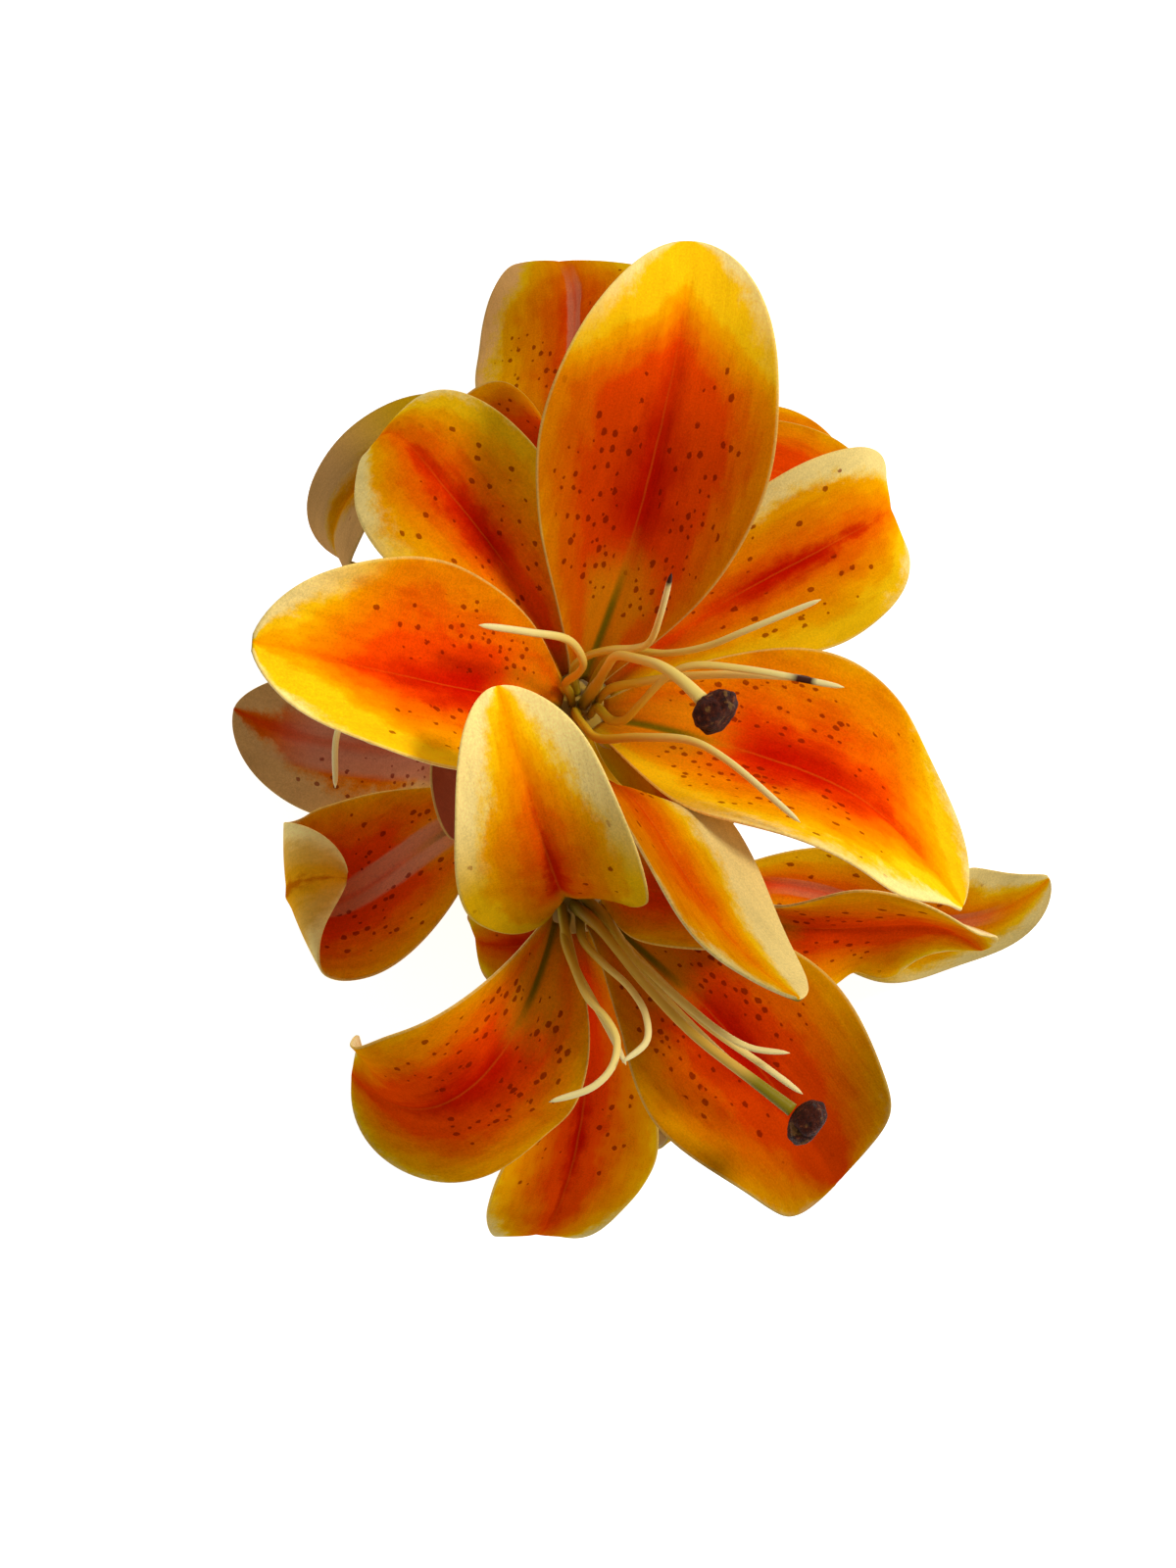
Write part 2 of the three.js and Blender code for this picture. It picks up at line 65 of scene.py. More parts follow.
# share is how much of a pedicel widens to its receptacle, and the last three bend its course.
PEDICEL = dict(radius=2.8, receptacle=8.6, share=0.16, lift=0.6, leave=0.35, arrive=0.3)
FORK = [0, 4, -100]  # where the pedicels leave the stem
STEM_ROUTE = [[0, -100, -120.8], [0, -60, -121], [0, -20, -118]]
CLAW_GAP = 1.1  # from a receptacle's face to the plane that the claws start in

# ---- what only the looks have -------------------------------------------------------

BLADE_MIDDLE = 1.0  # thickness at the midrib
BLADE_EDGE = 0.62  # thickness at the margins
RIM_BULGE = 0.35  # how far the rim stands out, as a share of the thickness there
FURROW = dict(depth=0.8, reach=1.5, back=0.7)  # groove along the midrib; the back has a share of it
RIPPLE = 0.3  # how far the margins wave to either side
WAVES = [dict(height=1, length=7.5, shift=1.7, apart=0.9), dict(height=0.6, length=4.1, shift=2.9, apart=0)]
ROWS, COLUMNS = 72, 36  # faces along and across a tepal
LAST_ROW = 0.998  # share of a tepal's length at which its mesh ends
CROWDING = 1.25  # 1 would space the rows evenly, and more than 1 crowds them at the tip
# Radii, and for a filament the length of its tapered end and its flatness. A style narrows from
# its ovary within the shares in waist.
FILAMENT = dict(base=1.12, tip=0.7, end=5.0, squash=0.8, sides=12, steps=56)
STYLE = dict(ovary=1.4, middle=1.0, tip=1.5, ovary_share=0.22, waist=(0.15, 0.3), sides=18, steps=72)
SEED_STEP = 1.37  # from one tepal to the next, so that no two have the same streaks and spots


def tepal(turn, rise=RECURVED, sway=(0, 0), roll=(0, 0, 0), cup=SHALLOW, stretch=1, broad=1, **traits):
    """One tepal's pose, as in the solids, and the traits of its colouring."""
    pose = dict(turn=turn, rise=rise, sway=sway, roll=roll, cup=cup, stretch=stretch, broad=broad)
    return pose, traits


# Traits: sun and shine are painted light and shade, how light the blade is
# drawn below and at its tip. warm moves its gold to orange, and tilt makes one
# side warmer and, as painted shade, darker than the other. ripe is how yellow the tip is.
# deep and core are the strength and width of the red along the midrib. cream is how far pale
# patches reach in from the margins, from the share start of the length on, and lean moves them to
# one side. dots is the share of spots. sheen and band are the strength and half width in
# centimetres of a painted sheen, a pale pink highlight along the midrib. ruddy and gilt turn
# the back of a blade to red-brown, darkened as painted shade, or to gold. PLAIN has the traits
# that a tepal leaves out.
PLAIN = dict(sun=0.6, shine=0.6, warm=0.2, tilt=0, ripe=0.5, deep=1, core=1, cream=0.2, lean=0, start=0.5,
             dots=0.4, blush=0, band=0.3, ruddy=0, gilt=0)
# Painted shade: the tepals behind are drawn darker.
HIDDEN = dict(sun=0.45)  # traits of the tepals behind, which show little or not at all

# A filament is listed by the direction of its root and by its course. Those that aren't listed
# stand in a closed bunch that is stamen_reach long. pollen says between which shares of its length
# the filament with that direction is dark. olive_end is how far the end of a style turns olive.
BLOOMS = [
    dict(
        name="front",
        base=[-1, 18, 0],
        facing=[0.4, 0.28, 0.87],
        inner=[
            tepal(85, [30, 45, 60, 65, 90], (-5, 0), (5, 25, 20), (25, 15, 20, 15), 0.92, 0.98,
                  sun=0.64, shine=1.25, warm=0.65, ripe=1.6, cream=0.3, start=0.8, dots=1),
            tepal(195, [35, 55, 65, 70, 80], (-15, -20), (0, -5, 10), (40, 30, 35, 25), 0.9, 0.94,
                  sun=0.92, shine=1.1, warm=0.3, tilt=-0.35, ripe=0.9, cream=0.3, lean=0.9, start=0.8,
                  dots=1),
            tepal(320, [30, 55, 70, 100, 95], (10, -15), (-15, 15, 35), (20, 25, 10, 25), 0.88, 1.12,
                  sun=0.9, shine=1.05, warm=0.25, tilt=0.3, ripe=0.9, cream=0.35, lean=0.9, start=0.35,
                  dots=1),
        ],
        outer=[
            tepal(35, [45, 65, 80, 110, 165], (-10, 5), (15, -15, -25), (30, 10, 0, 10), 0.96, 1.06,
                  sun=0.7, shine=0.95, warm=0, core=0.6, cream=0.6, lean=-0.6, start=0.35, dots=0.4),
            tepal(120, [60, 85, 100, 120, 200], (0, -20), (-5, 20, 40), (40, 0, -15, -5), 0.78, 1.08,
                  sun=0.9, shine=0.9, warm=0.12, core=0.7, cream=0.5, lean=-0.6, start=0.55, dots=0.6),
            tepal(251, [75, 20, 70, 70, 40], (35, 45), (5, 30, 30), (-25, 15, 10, 0), 0.92, 1.1,
                  sun=0.68, shine=0.7, warm=-0.1, tilt=-0.7, deep=0.15, cream=0.9, lean=-0.8, start=0.2,
                  dots=0.15),
        ],
        filaments=[
            (180, [[-3, 2, 6], [-4, 4, 14], [-1, 6, 23], [0, 8, 31], [-3, 12, 42], [-11, 13, 54],
                   [-21, 14, 62]]),
            (120, [[-2, 8, 10], [1, 10, 16], [6, 11, 23], [11, 11, 29], [14, 12, 36], [16, 17, 46],
                   [18, 25, 56]]),
            (60, [[5, 9, 10], [9, 11, 18], [18, 10, 28], [26, 11, 37], [34, 14, 44], [49, 20, 50]]),
            (0, [[6, 3, 12], [12, 4, 20], [22, 5, 30], [34, 5, 38], [48, 4, 42]]),
            (300, [[3, -1, 6], [6, -4, 12], [9, -4, 17], [12, -1, 22], [18, 5, 30], [23, 7, 35],
                   [34, 6, 41], [54, 2, 47]]),
            (240, [[-2, -2, 6], [0, -5, 12], [3, -8, 18], [12, -8, 28], [23, -9, 37], [30, -13, 41],
                   [45, -26, 46]]),
        ],
        pollen={120: (0.94, 1.1), 0: (0.94, 1.1), 300: (0.85, 0.93)},
        style=[[3, 4, 14], [5, 7, 27], [7, 9, 37], [11, 8, 46], [16, 6, 54], [20, 3, 58], [24, -1, 61]],
    ),
    dict(
        name="lower",
        base=[-3, -27, 8],
        facing=[0.2, -0.5, 0.84],
        inner=[
            tepal(118, [20, 40, 55, 95, 140], (-5, -10), (-10, 15, -15), (25, 25, 30, 15), 0.88, 0.74,
                  sun=0.72, shine=1.2, warm=0.05, ripe=0.7, deep=0.9, core=0.35, cream=0.85, start=0.65,
                  dots=0.12),
            tepal(225, [25, 50, 105, 145, 165], (10, -20), (-5, 0, -30), (30, -15, 0, 5), 0.82, 0.9,
                  sun=0.9, shine=0.7, warm=0.5, cream=0, dots=1),
            tepal(340, [40, 50, 50, 75, 120], (-20, -40), (0, 15, 20), (35, 0, 40, 5), 0.78, 0.94,
                  sun=0.72, shine=0.5, warm=0.45, ripe=0.2, cream=0, dots=1),
        ],
        outer=[
            tepal(60, [25, 45, 90, 155, 225], (-65, -80), (35, 45, 55), (10, 25, 40, -30), 0.5, 0.71,
                  sun=0.95, warm=0.3, deep=0.2, cream=0, dots=0),
            tepal(140, [20, 80, 160, 220, 270], (-60, -30), (0, -30, 0), SHALLOW, 0.7, 0.7,
                  sun=0.8, shine=0.8, warm=0.2, deep=0.2, cream=0, dots=0.3),
            tepal(280, [55, 85, 100, 115, 160], (-10, -15), (0, 5, 0), (30, 15, -10, 5), 1.02, 0.98,
                  sun=1.05, shine=0.7, warm=0.3, core=0.5, cream=0.35, start=0.7, dots=0.3),
        ],
        filaments=[
            (240, [[-2, -7, 12], [0, -12, 22], [3, -18, 30], [7, -22, 36], [9, -26, 40], [8, -31, 43],
                   [4, -35, 45], [-5, -38, 46]]),
            (300, [[2, -7, 12], [6, -11, 22], [12, -16, 32], [15, -21, 38], [15, -26, 42],
                   [10, -30, 45]]),
            (30, [[8, -6, 11], [16, -13, 20], [23, -19, 27], [31, -25, 33], [37, -28, 35],
                  [45, -29, 36]]),
            (350, [[7, -4, 6], [15, -12, 14], [28, -24, 24], [41, -33, 30], [48, -38, 32]]),
            (180, [[-2, -5, 9], [0, -12, 16], [4, -19, 23], [8, -26, 28], [11, -32, 31]]),
            (60, [[6, -1, 8], [11, -8, 15], [18, -17, 22], [27, -26, 28], [36, -34, 32]]),
        ],
        style=[[5, -3.5, 17], [9, -8, 24], [15, -15, 31], [25, -25, 38], [37, -34, 42], [45, -40, 43]],
        olive_end=1,
    ),
    dict(
        name="left",
        base=[-15, 0, -72],
        facing=[-0.5, 0.25, 0.83],
        inner=[
            tepal(218, [60, 85, 80, -25, -165], (-5, -25), (15, 10, -15), (0, 15, 10, 5), 0.82, 0.9,
                  sun=0.9, shine=0.8, warm=0.5, deep=0.3, cream=0.2, dots=0.6, blush=1, band=0.45,
                  gilt=1),
            tepal(330, [30, 20, 10, 15, 30], (30, 30), (-5, 5, -5), (50, 30, 20, 40), 0.8, 0.76,
                  sun=0.6, warm=0.4, cream=0, dots=0.2, ruddy=1),
            tepal(55, [50, 120, 180, 225, 270], stretch=0.85, broad=0.65, **HIDDEN),
        ],
        outer=[
            tepal(164, [40, 108, 90, 88, 85], (10, -8), (10, 12, 12), (10, -10, 0, 20), 0.87, 1.02,
                  sun=0.68, shine=0.58, warm=0.2, ripe=0.2, deep=0.1, cream=1.2, start=0.1, dots=0.6,
                  blush=1, band=0.8),
            tepal(270, [90, 125, 155, 190, 230], (0, 5), (0, 0, -5), (30, 20, 5, 10), 0.78, 0.7, **HIDDEN),
            tepal(105, [30, 80, 130, 170, 210], (5, 0), (0, 5, 0), stretch=0.93, broad=0.84, **HIDDEN),
        ],
        filaments=[(180, [[-12, 6, 12], [-27, 13, 34], [-40, 17, 50], [-43, 12, 53], [-44, -1, 48]])],
        stamen_reach=66,
        style_reach=64,
    ),
    dict(
        name="right",
        base=[24, -26, -62],
        facing=[0.45, -0.05, 0.88],
        inner=[
            tepal(325, [30, 35, 65, 100, 100], (40, 5), (5, -50, -70), (70, -5, 40, 0), 0.74, 0.72,
                  sun=0.85, shine=0.8, warm=0.35, deep=0.35, core=0.8, cream=0.1, dots=0.5),
            tepal(106, stretch=0.52, broad=0.7, **HIDDEN),
            tepal(240, stretch=0.8, broad=0.75, **HIDDEN),
        ],
        outer=[
            tepal(365, [70, 85, 90, 80, 80], (-20, 40), (10, -35, -15), (5, 40, -15, 25), 0.92, 0.94,
                  sun=0.72, shine=0.69, warm=0, deep=0, cream=0.7, start=0.55, dots=0.3, blush=0.6,
                  band=0.25),
            tepal(195, stretch=0.7, broad=0.6, **HIDDEN),
            tepal(285, [70, 95, 125, 165, 205], (0, 5), (-10, -5, 0), stretch=0.86, broad=0.76, **HIDDEN),
        ],
        stamen_reach=24,
        style_reach=22,
    ),
    dict(
        name="top",
        base=[0, 62, -66],
        facing=[0.3, 0.75, 0.6],
        inner=[
            tepal(95, [45, 60, 65, 85, 145], (-20, -10), (-10, 45, 0), (10, -5, -25, -15), 0.84, 1.04,
                  sun=0.66, shine=0.6, warm=0.05, deep=0.1, cream=0.45, lean=-0.7, start=0.2, dots=0.9,
                  blush=0.65, band=0.2),
            tepal(195, [15, 35, 80, 135, 190], (25, -5), (-15, 5, 5), (30, 20, 10, 5), 0.92, 0.72,
                  sun=0.6, warm=0.5, deep=0.4, cream=0),
            tepal(360, [20, 50, 90, 130, 180], (-30, -15), (10, 0, -10), stretch=0.9, broad=0.72,
                  sun=0.72, shine=0.7, warm=0.5, ripe=0.1, deep=0.1, cream=0, dots=0),
        ],
        outer=[
            tepal(185, [30, 55, 110, 168, 262], (-6, 8), (-5, -12, 5), (20, 25, 0, 20), 0.98, 0.92,
                  sun=0.5, shine=0.58, warm=-0.4, deep=0, cream=1.6, start=0.6, dots=0.1),
            tepal(20, [65, 65, 90, 125, 145], (-20, -5), (-5, -10, 5), (35, 10, 10, 5), 0.95, 0.96,
                  sun=0.7, shine=0.72, warm=0.55, ripe=0.1, deep=0.3, cream=0, dots=0.1),
            tepal(265, [20, 70, 120, 170, 220], (0, 0), (-5, 0, 0), (30, 15, 10, 5), 0.84, 0.84, **HIDDEN),
        ],
        stamen_reach=66,
        style_reach=64,
    ),
]

# ---- curves through a few stations --------------------------------------------------


def unit(a):
    return a / np.linalg.norm(a, axis=-1, keepdims=True)


def smooth(low, high, x):
    """0 below low, 1 above high, and a smooth run between them."""
    t = np.clip((np.asarray(x, float) - low) / (high - low), 0, 1)
    return t * t * (3 - 2 * t)


def through(values, s):
    """The values at shares s of a smooth run through evenly spaced values."""
    values = np.asarray(values, float)
    last = len(values) - 1
    place = np.clip(np.asarray(s, float), 0, 1) * last
    i = np.minimum(np.floor(place).astype(int), last - 1)
    t = place - i

    def at(k):
        return values[np.clip(k, 0, last)]

    slope_here = (at(i + 1) - at(i - 1)) / np.where(i > 0, 2, 1)
    slope_next = (at(i + 2) - at(i)) / np.where(i + 2 <= last, 2, 1)
    ease = 3 * t**2 - 2 * t**3
    value = at(i) * (1 - ease) + at(i + 1) * ease
    return value + slope_here * (t**3 - 2 * t**2 + t) + slope_next * (t**3 - t**2)


def half_width(kind, pose, s):
    """Half the width of a tepal at shares s of its length."""
    shape = TEPAL[kind]
    full = shape["width"] / 2 * pose["broad"]
    near = shape["claw"] + (1 - shape["claw"]) * np.sin(np.pi / 2 * np.minimum(s / WIDEST, 1)) ** WIDENING
    beyond = np.clip((s - WIDEST) / (1 - WIDEST), 0, 1)
    far = np.maximum(TIP_WIDTH, (1 - beyond**2) ** shape["roundness"])
    return full * np.where(s < WIDEST, near, far)


# ---- a bloom's frame ----------------------------------------------------------------


class Bloom:
    """The middle of a bloom's ring of claws, its axis, and its right and top directions."""

    def __init__(self, data):
        self.base = np.array(data["base"], float)
        self.axis = unit(np.array(data["facing"], float))
        self.side = unit(np.cross([0, 1, 0], self.axis))
        self.top = np.cross(self.axis, self.side)

    def outward(self, turn):
        turn = np.asarray(turn)[..., None]
        return self.side * np.cos(turn) + self.top * np.sin(turn)

    def beside(self, along, turn, radius):
        return self.base + self.axis * along + self.outward(turn) * radius


# ---- tepals -------------------------------------------------------------------------

COURSE_STEPS = 60


def turned(vectors, axes, angles):
    """Each vector turned about its unit axis by its angle, where they stand square."""
    cos, sin = np.cos(angles)[:, None], np.sin(angles)[:, None]
    return vectors * cos + np.cross(axes, vectors) * sin


def midrib_course(bloom, kind, pose):
    """The points of a tepal's midrib, with the blade's side and front directions."""
    s = np.arange(COURSE_STEPS + 1) / COURSE_STEPS
    reach = TEPAL[kind]["length"] * pose["stretch"]
    turn = np.radians(pose["turn"] + through([0, *pose["sway"]], s))
    rise = np.radians(through(pose["rise"], s))[:, None]
    roll = np.radians(through(pose["roll"], s))
    ahead = bloom.axis * np.cos(rise) + bloom.outward(turn) * np.sin(rise)
    across = bloom.outward(turn - np.pi / 2)
    front = np.cross(across, ahead)
    start = bloom.beside(0, math.radians(pose["turn"]), TEPAL[kind]["ring"])
    steps = np.vstack([np.zeros(3), np.cumsum(ahead[:-1], axis=0)])
    points = start + steps * reach / COURSE_STEPS
    return points, turned(across, ahead, -roll), turned(front, ahead, -roll)


def between(values, s):
    """Rows of values at shares s, by straight lines from one to the next."""
    place = np.clip(s, 0, 1) * COURSE_STEPS
    i = np.minimum(np.floor(place).astype(int), COURSE_STEPS - 1)
    t = (place - i)[:, None]
    return values[i] * (1 - t) + values[i + 1] * t


def blade_points(course, kind, pose, s, v):
    """Points of a blade's middle surface: s runs from claw to tip, v from -1 to 1 across."""
    points, side, front = course
    cup = np.radians(through([CLAW_CUP, *pose["cup"]], s))[:, None]
    crease = math.radians(CREASE) * (1 - CREASE_FADE * s)[:, None]
    reach = np.abs(v)[None, :]
    parts = 8
    step = reach * half_width(kind, pose, s)[:, None] / parts
    x, y = np.zeros_like(step), np.zeros_like(step)
    for k in range(parts):
        slope = crease + cup * reach * (k + 0.5) / parts
        x += np.cos(slope) * step
        y += np.sin(slope) * step
    x *= np.sign(v)[None, :]
    middle = between(points, s)[:, None]
    across, ahead = unit(between(side, s))[:, None], unit(between(front, s))[:, None]
    return middle + across * x[..., None] + ahead * y[..., None]


def mesh_object(name, points, faces, maps, marks, materials, which):
    """A smooth mesh with UV maps, numbers on its points, and a material on each face."""
    mesh = bpy.data.meshes.new(name)
    mesh.from_pydata(((np.asarray(points) + SHIFT) * MM).tolist(), [], faces)
    corner = np.empty(len(mesh.loops), np.int32)
    mesh.loops.foreach_get("vertex_index", corner)
    for label, values in maps.items():
        layer = mesh.uv_layers.new(name=label)
        layer.uv.foreach_set("vector", np.asarray(values, np.float32)[corner].ravel())
    for label, values in marks.items():
        attribute = mesh.attributes.new(label, "FLOAT", "POINT")
        values = np.broadcast_to(np.asarray(values, np.float32), (len(points),))
        attribute.data.foreach_set("value", np.ascontiguousarray(values))
    for material in materials:
        mesh.materials.append(material)
    mesh.polygons.foreach_set("material_index", np.asarray(which, np.int32))
    mesh.polygons.foreach_set("use_smooth", np.ones(len(faces), bool))
    mesh.update()
    piece = bpy.data.objects.new(name, mesh)
    bpy.context.collection.objects.link(piece)
    return piece


def place(piece, node, slot):
    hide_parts(node)
    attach(piece, "root")


def blade_shares():
    """Shares along a blade, closer together at its tip, and across it, closer at its margins."""
    s = LAST_ROW * (1 - (1 - np.arange(ROWS + 1) / ROWS) ** CROWDING)
    steps = np.linspace(-1, 1, COLUMNS + 1)
    return s, np.sin(np.pi / 2 * steps) * 0.4 + steps * 0.6


def blade_sides(middle, x, y, s, v, seed):
    """The two faces of a blade. Its margins ripple a little, and its midrib is a groove."""
    normal = unit(np.cross(np.gradient(middle, axis=1), np.gradient(middle, axis=0)))
    wave = 0
    for w in WAVES:
        wave = wave + w["height"] * np.sin(y / w["length"] + seed * w["shift"] + np.sign(x) * w["apart"])
    ripple = RIPPLE * np.abs(v) ** 4 * wave * smooth(0.1, 0.35, s)
    furrow = FURROW["depth"] * np.exp(-((x / FURROW["reach"]) ** 2)) * smooth(1.0, 0.7, s)
    half = 0.5 * (BLADE_MIDDLE + (BLADE_EDGE - BLADE_MIDDLE) * np.abs(v) ** 2)
    front = middle + normal * (half + ripple - furrow)[..., None]
    back = middle + normal * (-half + ripple - furrow * FURROW["back"])[..., None]
    return front.reshape(-1, 3), back.reshape(-1, 3)


def inward(middle):
    """At each point of a blade's border, the direction to the next point inside."""
    steps = np.zeros_like(middle)
    steps[:, 0] = unit(middle[:, 1] - middle[:, 0])
    steps[:, -1] = unit(middle[:, -2] - middle[:, -1])
    steps[-1, 1:-1] = unit(middle[-2, 1:-1] - middle[-1, 1:-1])
    steps[0, 1:-1] = unit(middle[1, 1:-1] - middle[0, 1:-1])
    return steps.reshape(-1, 3)


def blade_faces(cells, rim):
    """Faces of a blade's front and back and of the rim between, and a material for each."""
    a, b = cells[:-1, :-1].ravel(), cells[:-1, 1:].ravel()
    c, d = cells[1:, 1:].ravel(), cells[1:, :-1].ravel()
    ring = np.arange(len(rim))
    ahead = np.roll(ring, -1)
    back = cells.size
    bead = 2 * cells.size
    front_and_back_in_turn = [
        [a, b, c, d],
        [back + a, back + d, back + c, back + b],
        [rim[ahead], rim[ring], bead + ring, bead + ahead],
        [bead + ahead, bead + ring, back + rim[ring], back + rim[ahead]],
    ]
    faces, which = [], []
    for number, corners in enumerate(front_and_back_in_turn):
        faces += np.stack(corners, 1).tolist()
        which += [number % 2] * len(corners[0])
    return faces, which


def make_tepal(bloom, node, kind, pose, traits, seed):
    course = midrib_course(bloom, kind, pose)
    s, v = blade_shares()
    middle = blade_points(course, kind, pose, s, v)
    x = half_width(kind, pose, s)[:, None] * v
    y = np.broadcast_to((TEPAL[kind]["length"] * pose["stretch"] * s)[:, None], x.shape)
    front, back = blade_sides(middle, x, y, s[:, None], v[None, :], seed)
    # A rounded rim runs round the margin, between the two faces.
    cells = np.arange(x.size).reshape(x.shape)
    rim = np.concatenate([cells[0, :-1], cells[:-1, -1], cells[-1, :0:-1], cells[:0:-1, 0]])
    edge = (front[rim] + back[rim]) / 2 - inward(middle)[rim] * BLADE_EDGE * RIM_BULGE
    faces, which = blade_faces(cells, rim)
    shares = np.stack(np.broadcast_arrays((v[None, :] + 1) / 2, s[:, None]), -1).reshape(-1, 2)
    centimetres = (np.stack([x, y], -1) / 10).reshape(-1, 2)
    maps = {
        "shares": np.vstack([shares, shares, shares[rim]]),
        "lengths": np.vstack([centimetres, centimetres, centimetres[rim]]),
    }
    marks = dict(PLAIN, seed=seed, throat=float(kind == "inner"), **traits)
    materials = [MATERIALS["tepal_face"], MATERIALS["tepal_back"]]
    piece = mesh_object(f"{node}_blade", np.vstack([front, back, edge]), faces, maps, marks, materials, which)
    place(piece, node, f"{kind}_tepal")


# ---- round limbs --------------------------------------------------------------------

SPLINE_STEPS = 24  # between two points of a spline, before they are dealt out evenly
BEZIER_STEPS = 120


def spline(points, steps):
    """Even steps along the centripetal curve through points."""
    points = np.asarray(points, float)
    padded = np.vstack([2 * points[0] - points[1], points, 2 * points[-1] - points[-2]])
    t = np.linspace(0, 1, SPLINE_STEPS, endpoint=False)[:, None]
    run = []
    for p0, p1, p2, p3 in zip(padded, padded[1:], padded[2:], padded[3:]):
        d0, d1, d2 = (math.sqrt(np.linalg.norm(q - p)) for p, q in ((p0, p1), (p1, p2), (p2, p3)))
        here = ((p1 - p0) / d0 - (p2 - p0) / (d0 + d1) + (p2 - p1) / d1) * d1
        there = ((p2 - p1) / d1 - (p3 - p1) / (d1 + d2) + (p3 - p2) / d2) * d1
        ease = 3 * t**2 - 2 * t**3
        run.append(p1 * (1 - ease) + p2 * ease + here * (t**3 - 2 * t**2 + t) + there * (t**3 - t**2))
    return even(np.vstack([*run, points[-1:]]), steps)


def bezier(corners, steps):
    """Even steps along the curve with four corners."""
    t = np.linspace(0, 1, BEZIER_STEPS)[:, None]
    a, b, c, d = (np.asarray(corner, float) for corner in corners)
    return even(a * (1 - t) ** 3 + 3 * b * t * (1 - t) ** 2 + 3 * c * t**2 * (1 - t) + d * t**3, steps)


def even(run, steps):
    """The run of points dealt out again at even distances."""
    far = np.concatenate([[0], np.cumsum(np.linalg.norm(np.diff(run, axis=0), axis=1))])
    wanted = np.linspace(0, far[-1], steps + 1)
    return np.stack([np.interp(wanted, far, run[:, k]) for k in range(3)], 1)


def tube(course, radii, sides, squash=1.0):
    """Points and faces of a closed tube, with its place round and along for each point."""
    ahead = unit(np.gradient(course, axis=0))
    no_limb_starts_along = [0.3, 0.2, 0.9]
    side = unit(np.cross(ahead[0], no_limb_starts_along))
    angle = 2 * np.pi * np.arange(sides) / sides
    points, maps, far = [], [], 0
    for i, point in enumerate(course):
        side = unit(side - ahead[i] * (side @ ahead[i]))
        other = np.cross(ahead[i], side) * squash
        far += np.linalg.norm(point - course[i - 1]) if i else 0
        points.append(point + radii[i] * (np.cos(angle)[:, None] * side + np.sin(angle)[:, None] * other))
        maps.append(np.stack([angle / (2 * np.pi), np.full(sides, far / 10)], 1))
    faces = []
    for i in range(len(course) - 1):
        for j in range(sides):
            a, b = i * sides + j, i * sides + (j + 1) % sides
            faces.append([a, b, b + sides, a + sides])
    faces.append(list(range(sides))[::-1])
    faces.append([(len(course) - 1) * sides + j for j in range(sides)])
    return np.vstack(points), faces, np.vstack(maps)


def joined(parts):
    """Several sets of points, faces, maps and shares as one."""
    points, faces, maps, shares = [], [], [], []
    count = 0
    for part_points, part_faces, part_maps, part_shares in parts:
        points.append(part_points)
        maps.append(part_maps)
        shares.append(part_shares)
        faces += [[count + k for k in face] for face in part_faces]
        count += len(part_points)
    return np.vstack(points), faces, np.vstack(maps), np.concatenate(shares)


def rounded(radii, course, reach):
    """Radii that close to a round end over the last reach millimetres of a course."""
    far = np.concatenate([[0], np.cumsum(np.linalg.norm(np.diff(course, axis=0), axis=1))])
    left = np.clip((far[-1] - far) / reach, 0, 1)
    return radii * np.maximum(np.sqrt(1 - (1 - left) ** 2), 0.08)


def limb(course, radii, sides, squash=1.0):
    """A tube with the share of its length at each point."""
    points, faces, maps = tube(course, radii, sides, squash)
    shares = np.repeat(np.linspace(0, 1, len(course)), sides)
    return points, faces, maps, shares


def place_fine(node, slot, points, faces, lengths, marks):
    """A node's finer version, in the material that has the name of its slot."""
    piece = mesh_object(f"{node}_fine", points, faces, {"lengths": lengths}, marks, [MATERIALS[slot]],
                        [0] * len(faces))
    place(piece, node, slot)


def filament_routes(data, bloom):
    """The direction and the course of each filament: the listed ones, then a closed bunch."""
    listed = data.get("filaments", [])
    routes = []
    for turn, points in listed:
        root = bloom.beside(0, math.radians(turn), FILAMENT_RING)
        routes.append((turn, [root, *(bloom.base + np.array(point) for point in points)]))
    first = listed[0][0] if listed else CLOSED_BUNCH["first"]
    for k in range(len(listed), FILAMENTS):
        turn = first + 360 / FILAMENTS * k
        route = []
        for share in (0, 0.35, 0.7, 1):
            spread = FILAMENT_RING + CLOSED_BUNCH["fan"] * share**2
            route.append(bloom.beside(data["stamen_reach"] * share, math.radians(turn), spread))
        routes.append((turn, route))
    return routes


def make_stamens(data, bloom, seed):
    sides, border = FILAMENT["sides"], 0.02
    past_the_end = (2, 2)
    parts, dark = [], []
    for turn, route in filament_routes(data, bloom):
        course = spline(route, FILAMENT["steps"])
        share = np.linspace(0, 1, len(course))
        radii = FILAMENT["base"] + (FILAMENT["tip"] - FILAMENT["base"]) * share**1.5
        parts.append(limb(course, rounded(radii, course, FILAMENT["end"]), sides, FILAMENT["squash"]))
        first, last = data.get("pollen", {}).get(turn, past_the_end)
        inside = smooth(first, first + border, share) * smooth(last, last - border, share)
        dark.append(np.repeat(inside, sides))
    points, faces, lengths, shares = joined(parts)
    marks = dict(share=shares, seed=seed, dark=np.concatenate(dark))
    place_fine(f"{data['name']}_stamens", "filament", points, faces, lengths, marks)


def style_points(data, bloom):
    if "style" in data:
        return [bloom.base, *(bloom.base + np.array(point) for point in data["style"])]
    return [bloom.base, *(bloom.beside(share * data["style_reach"], 0, 0) for share in (0.5, 1))]


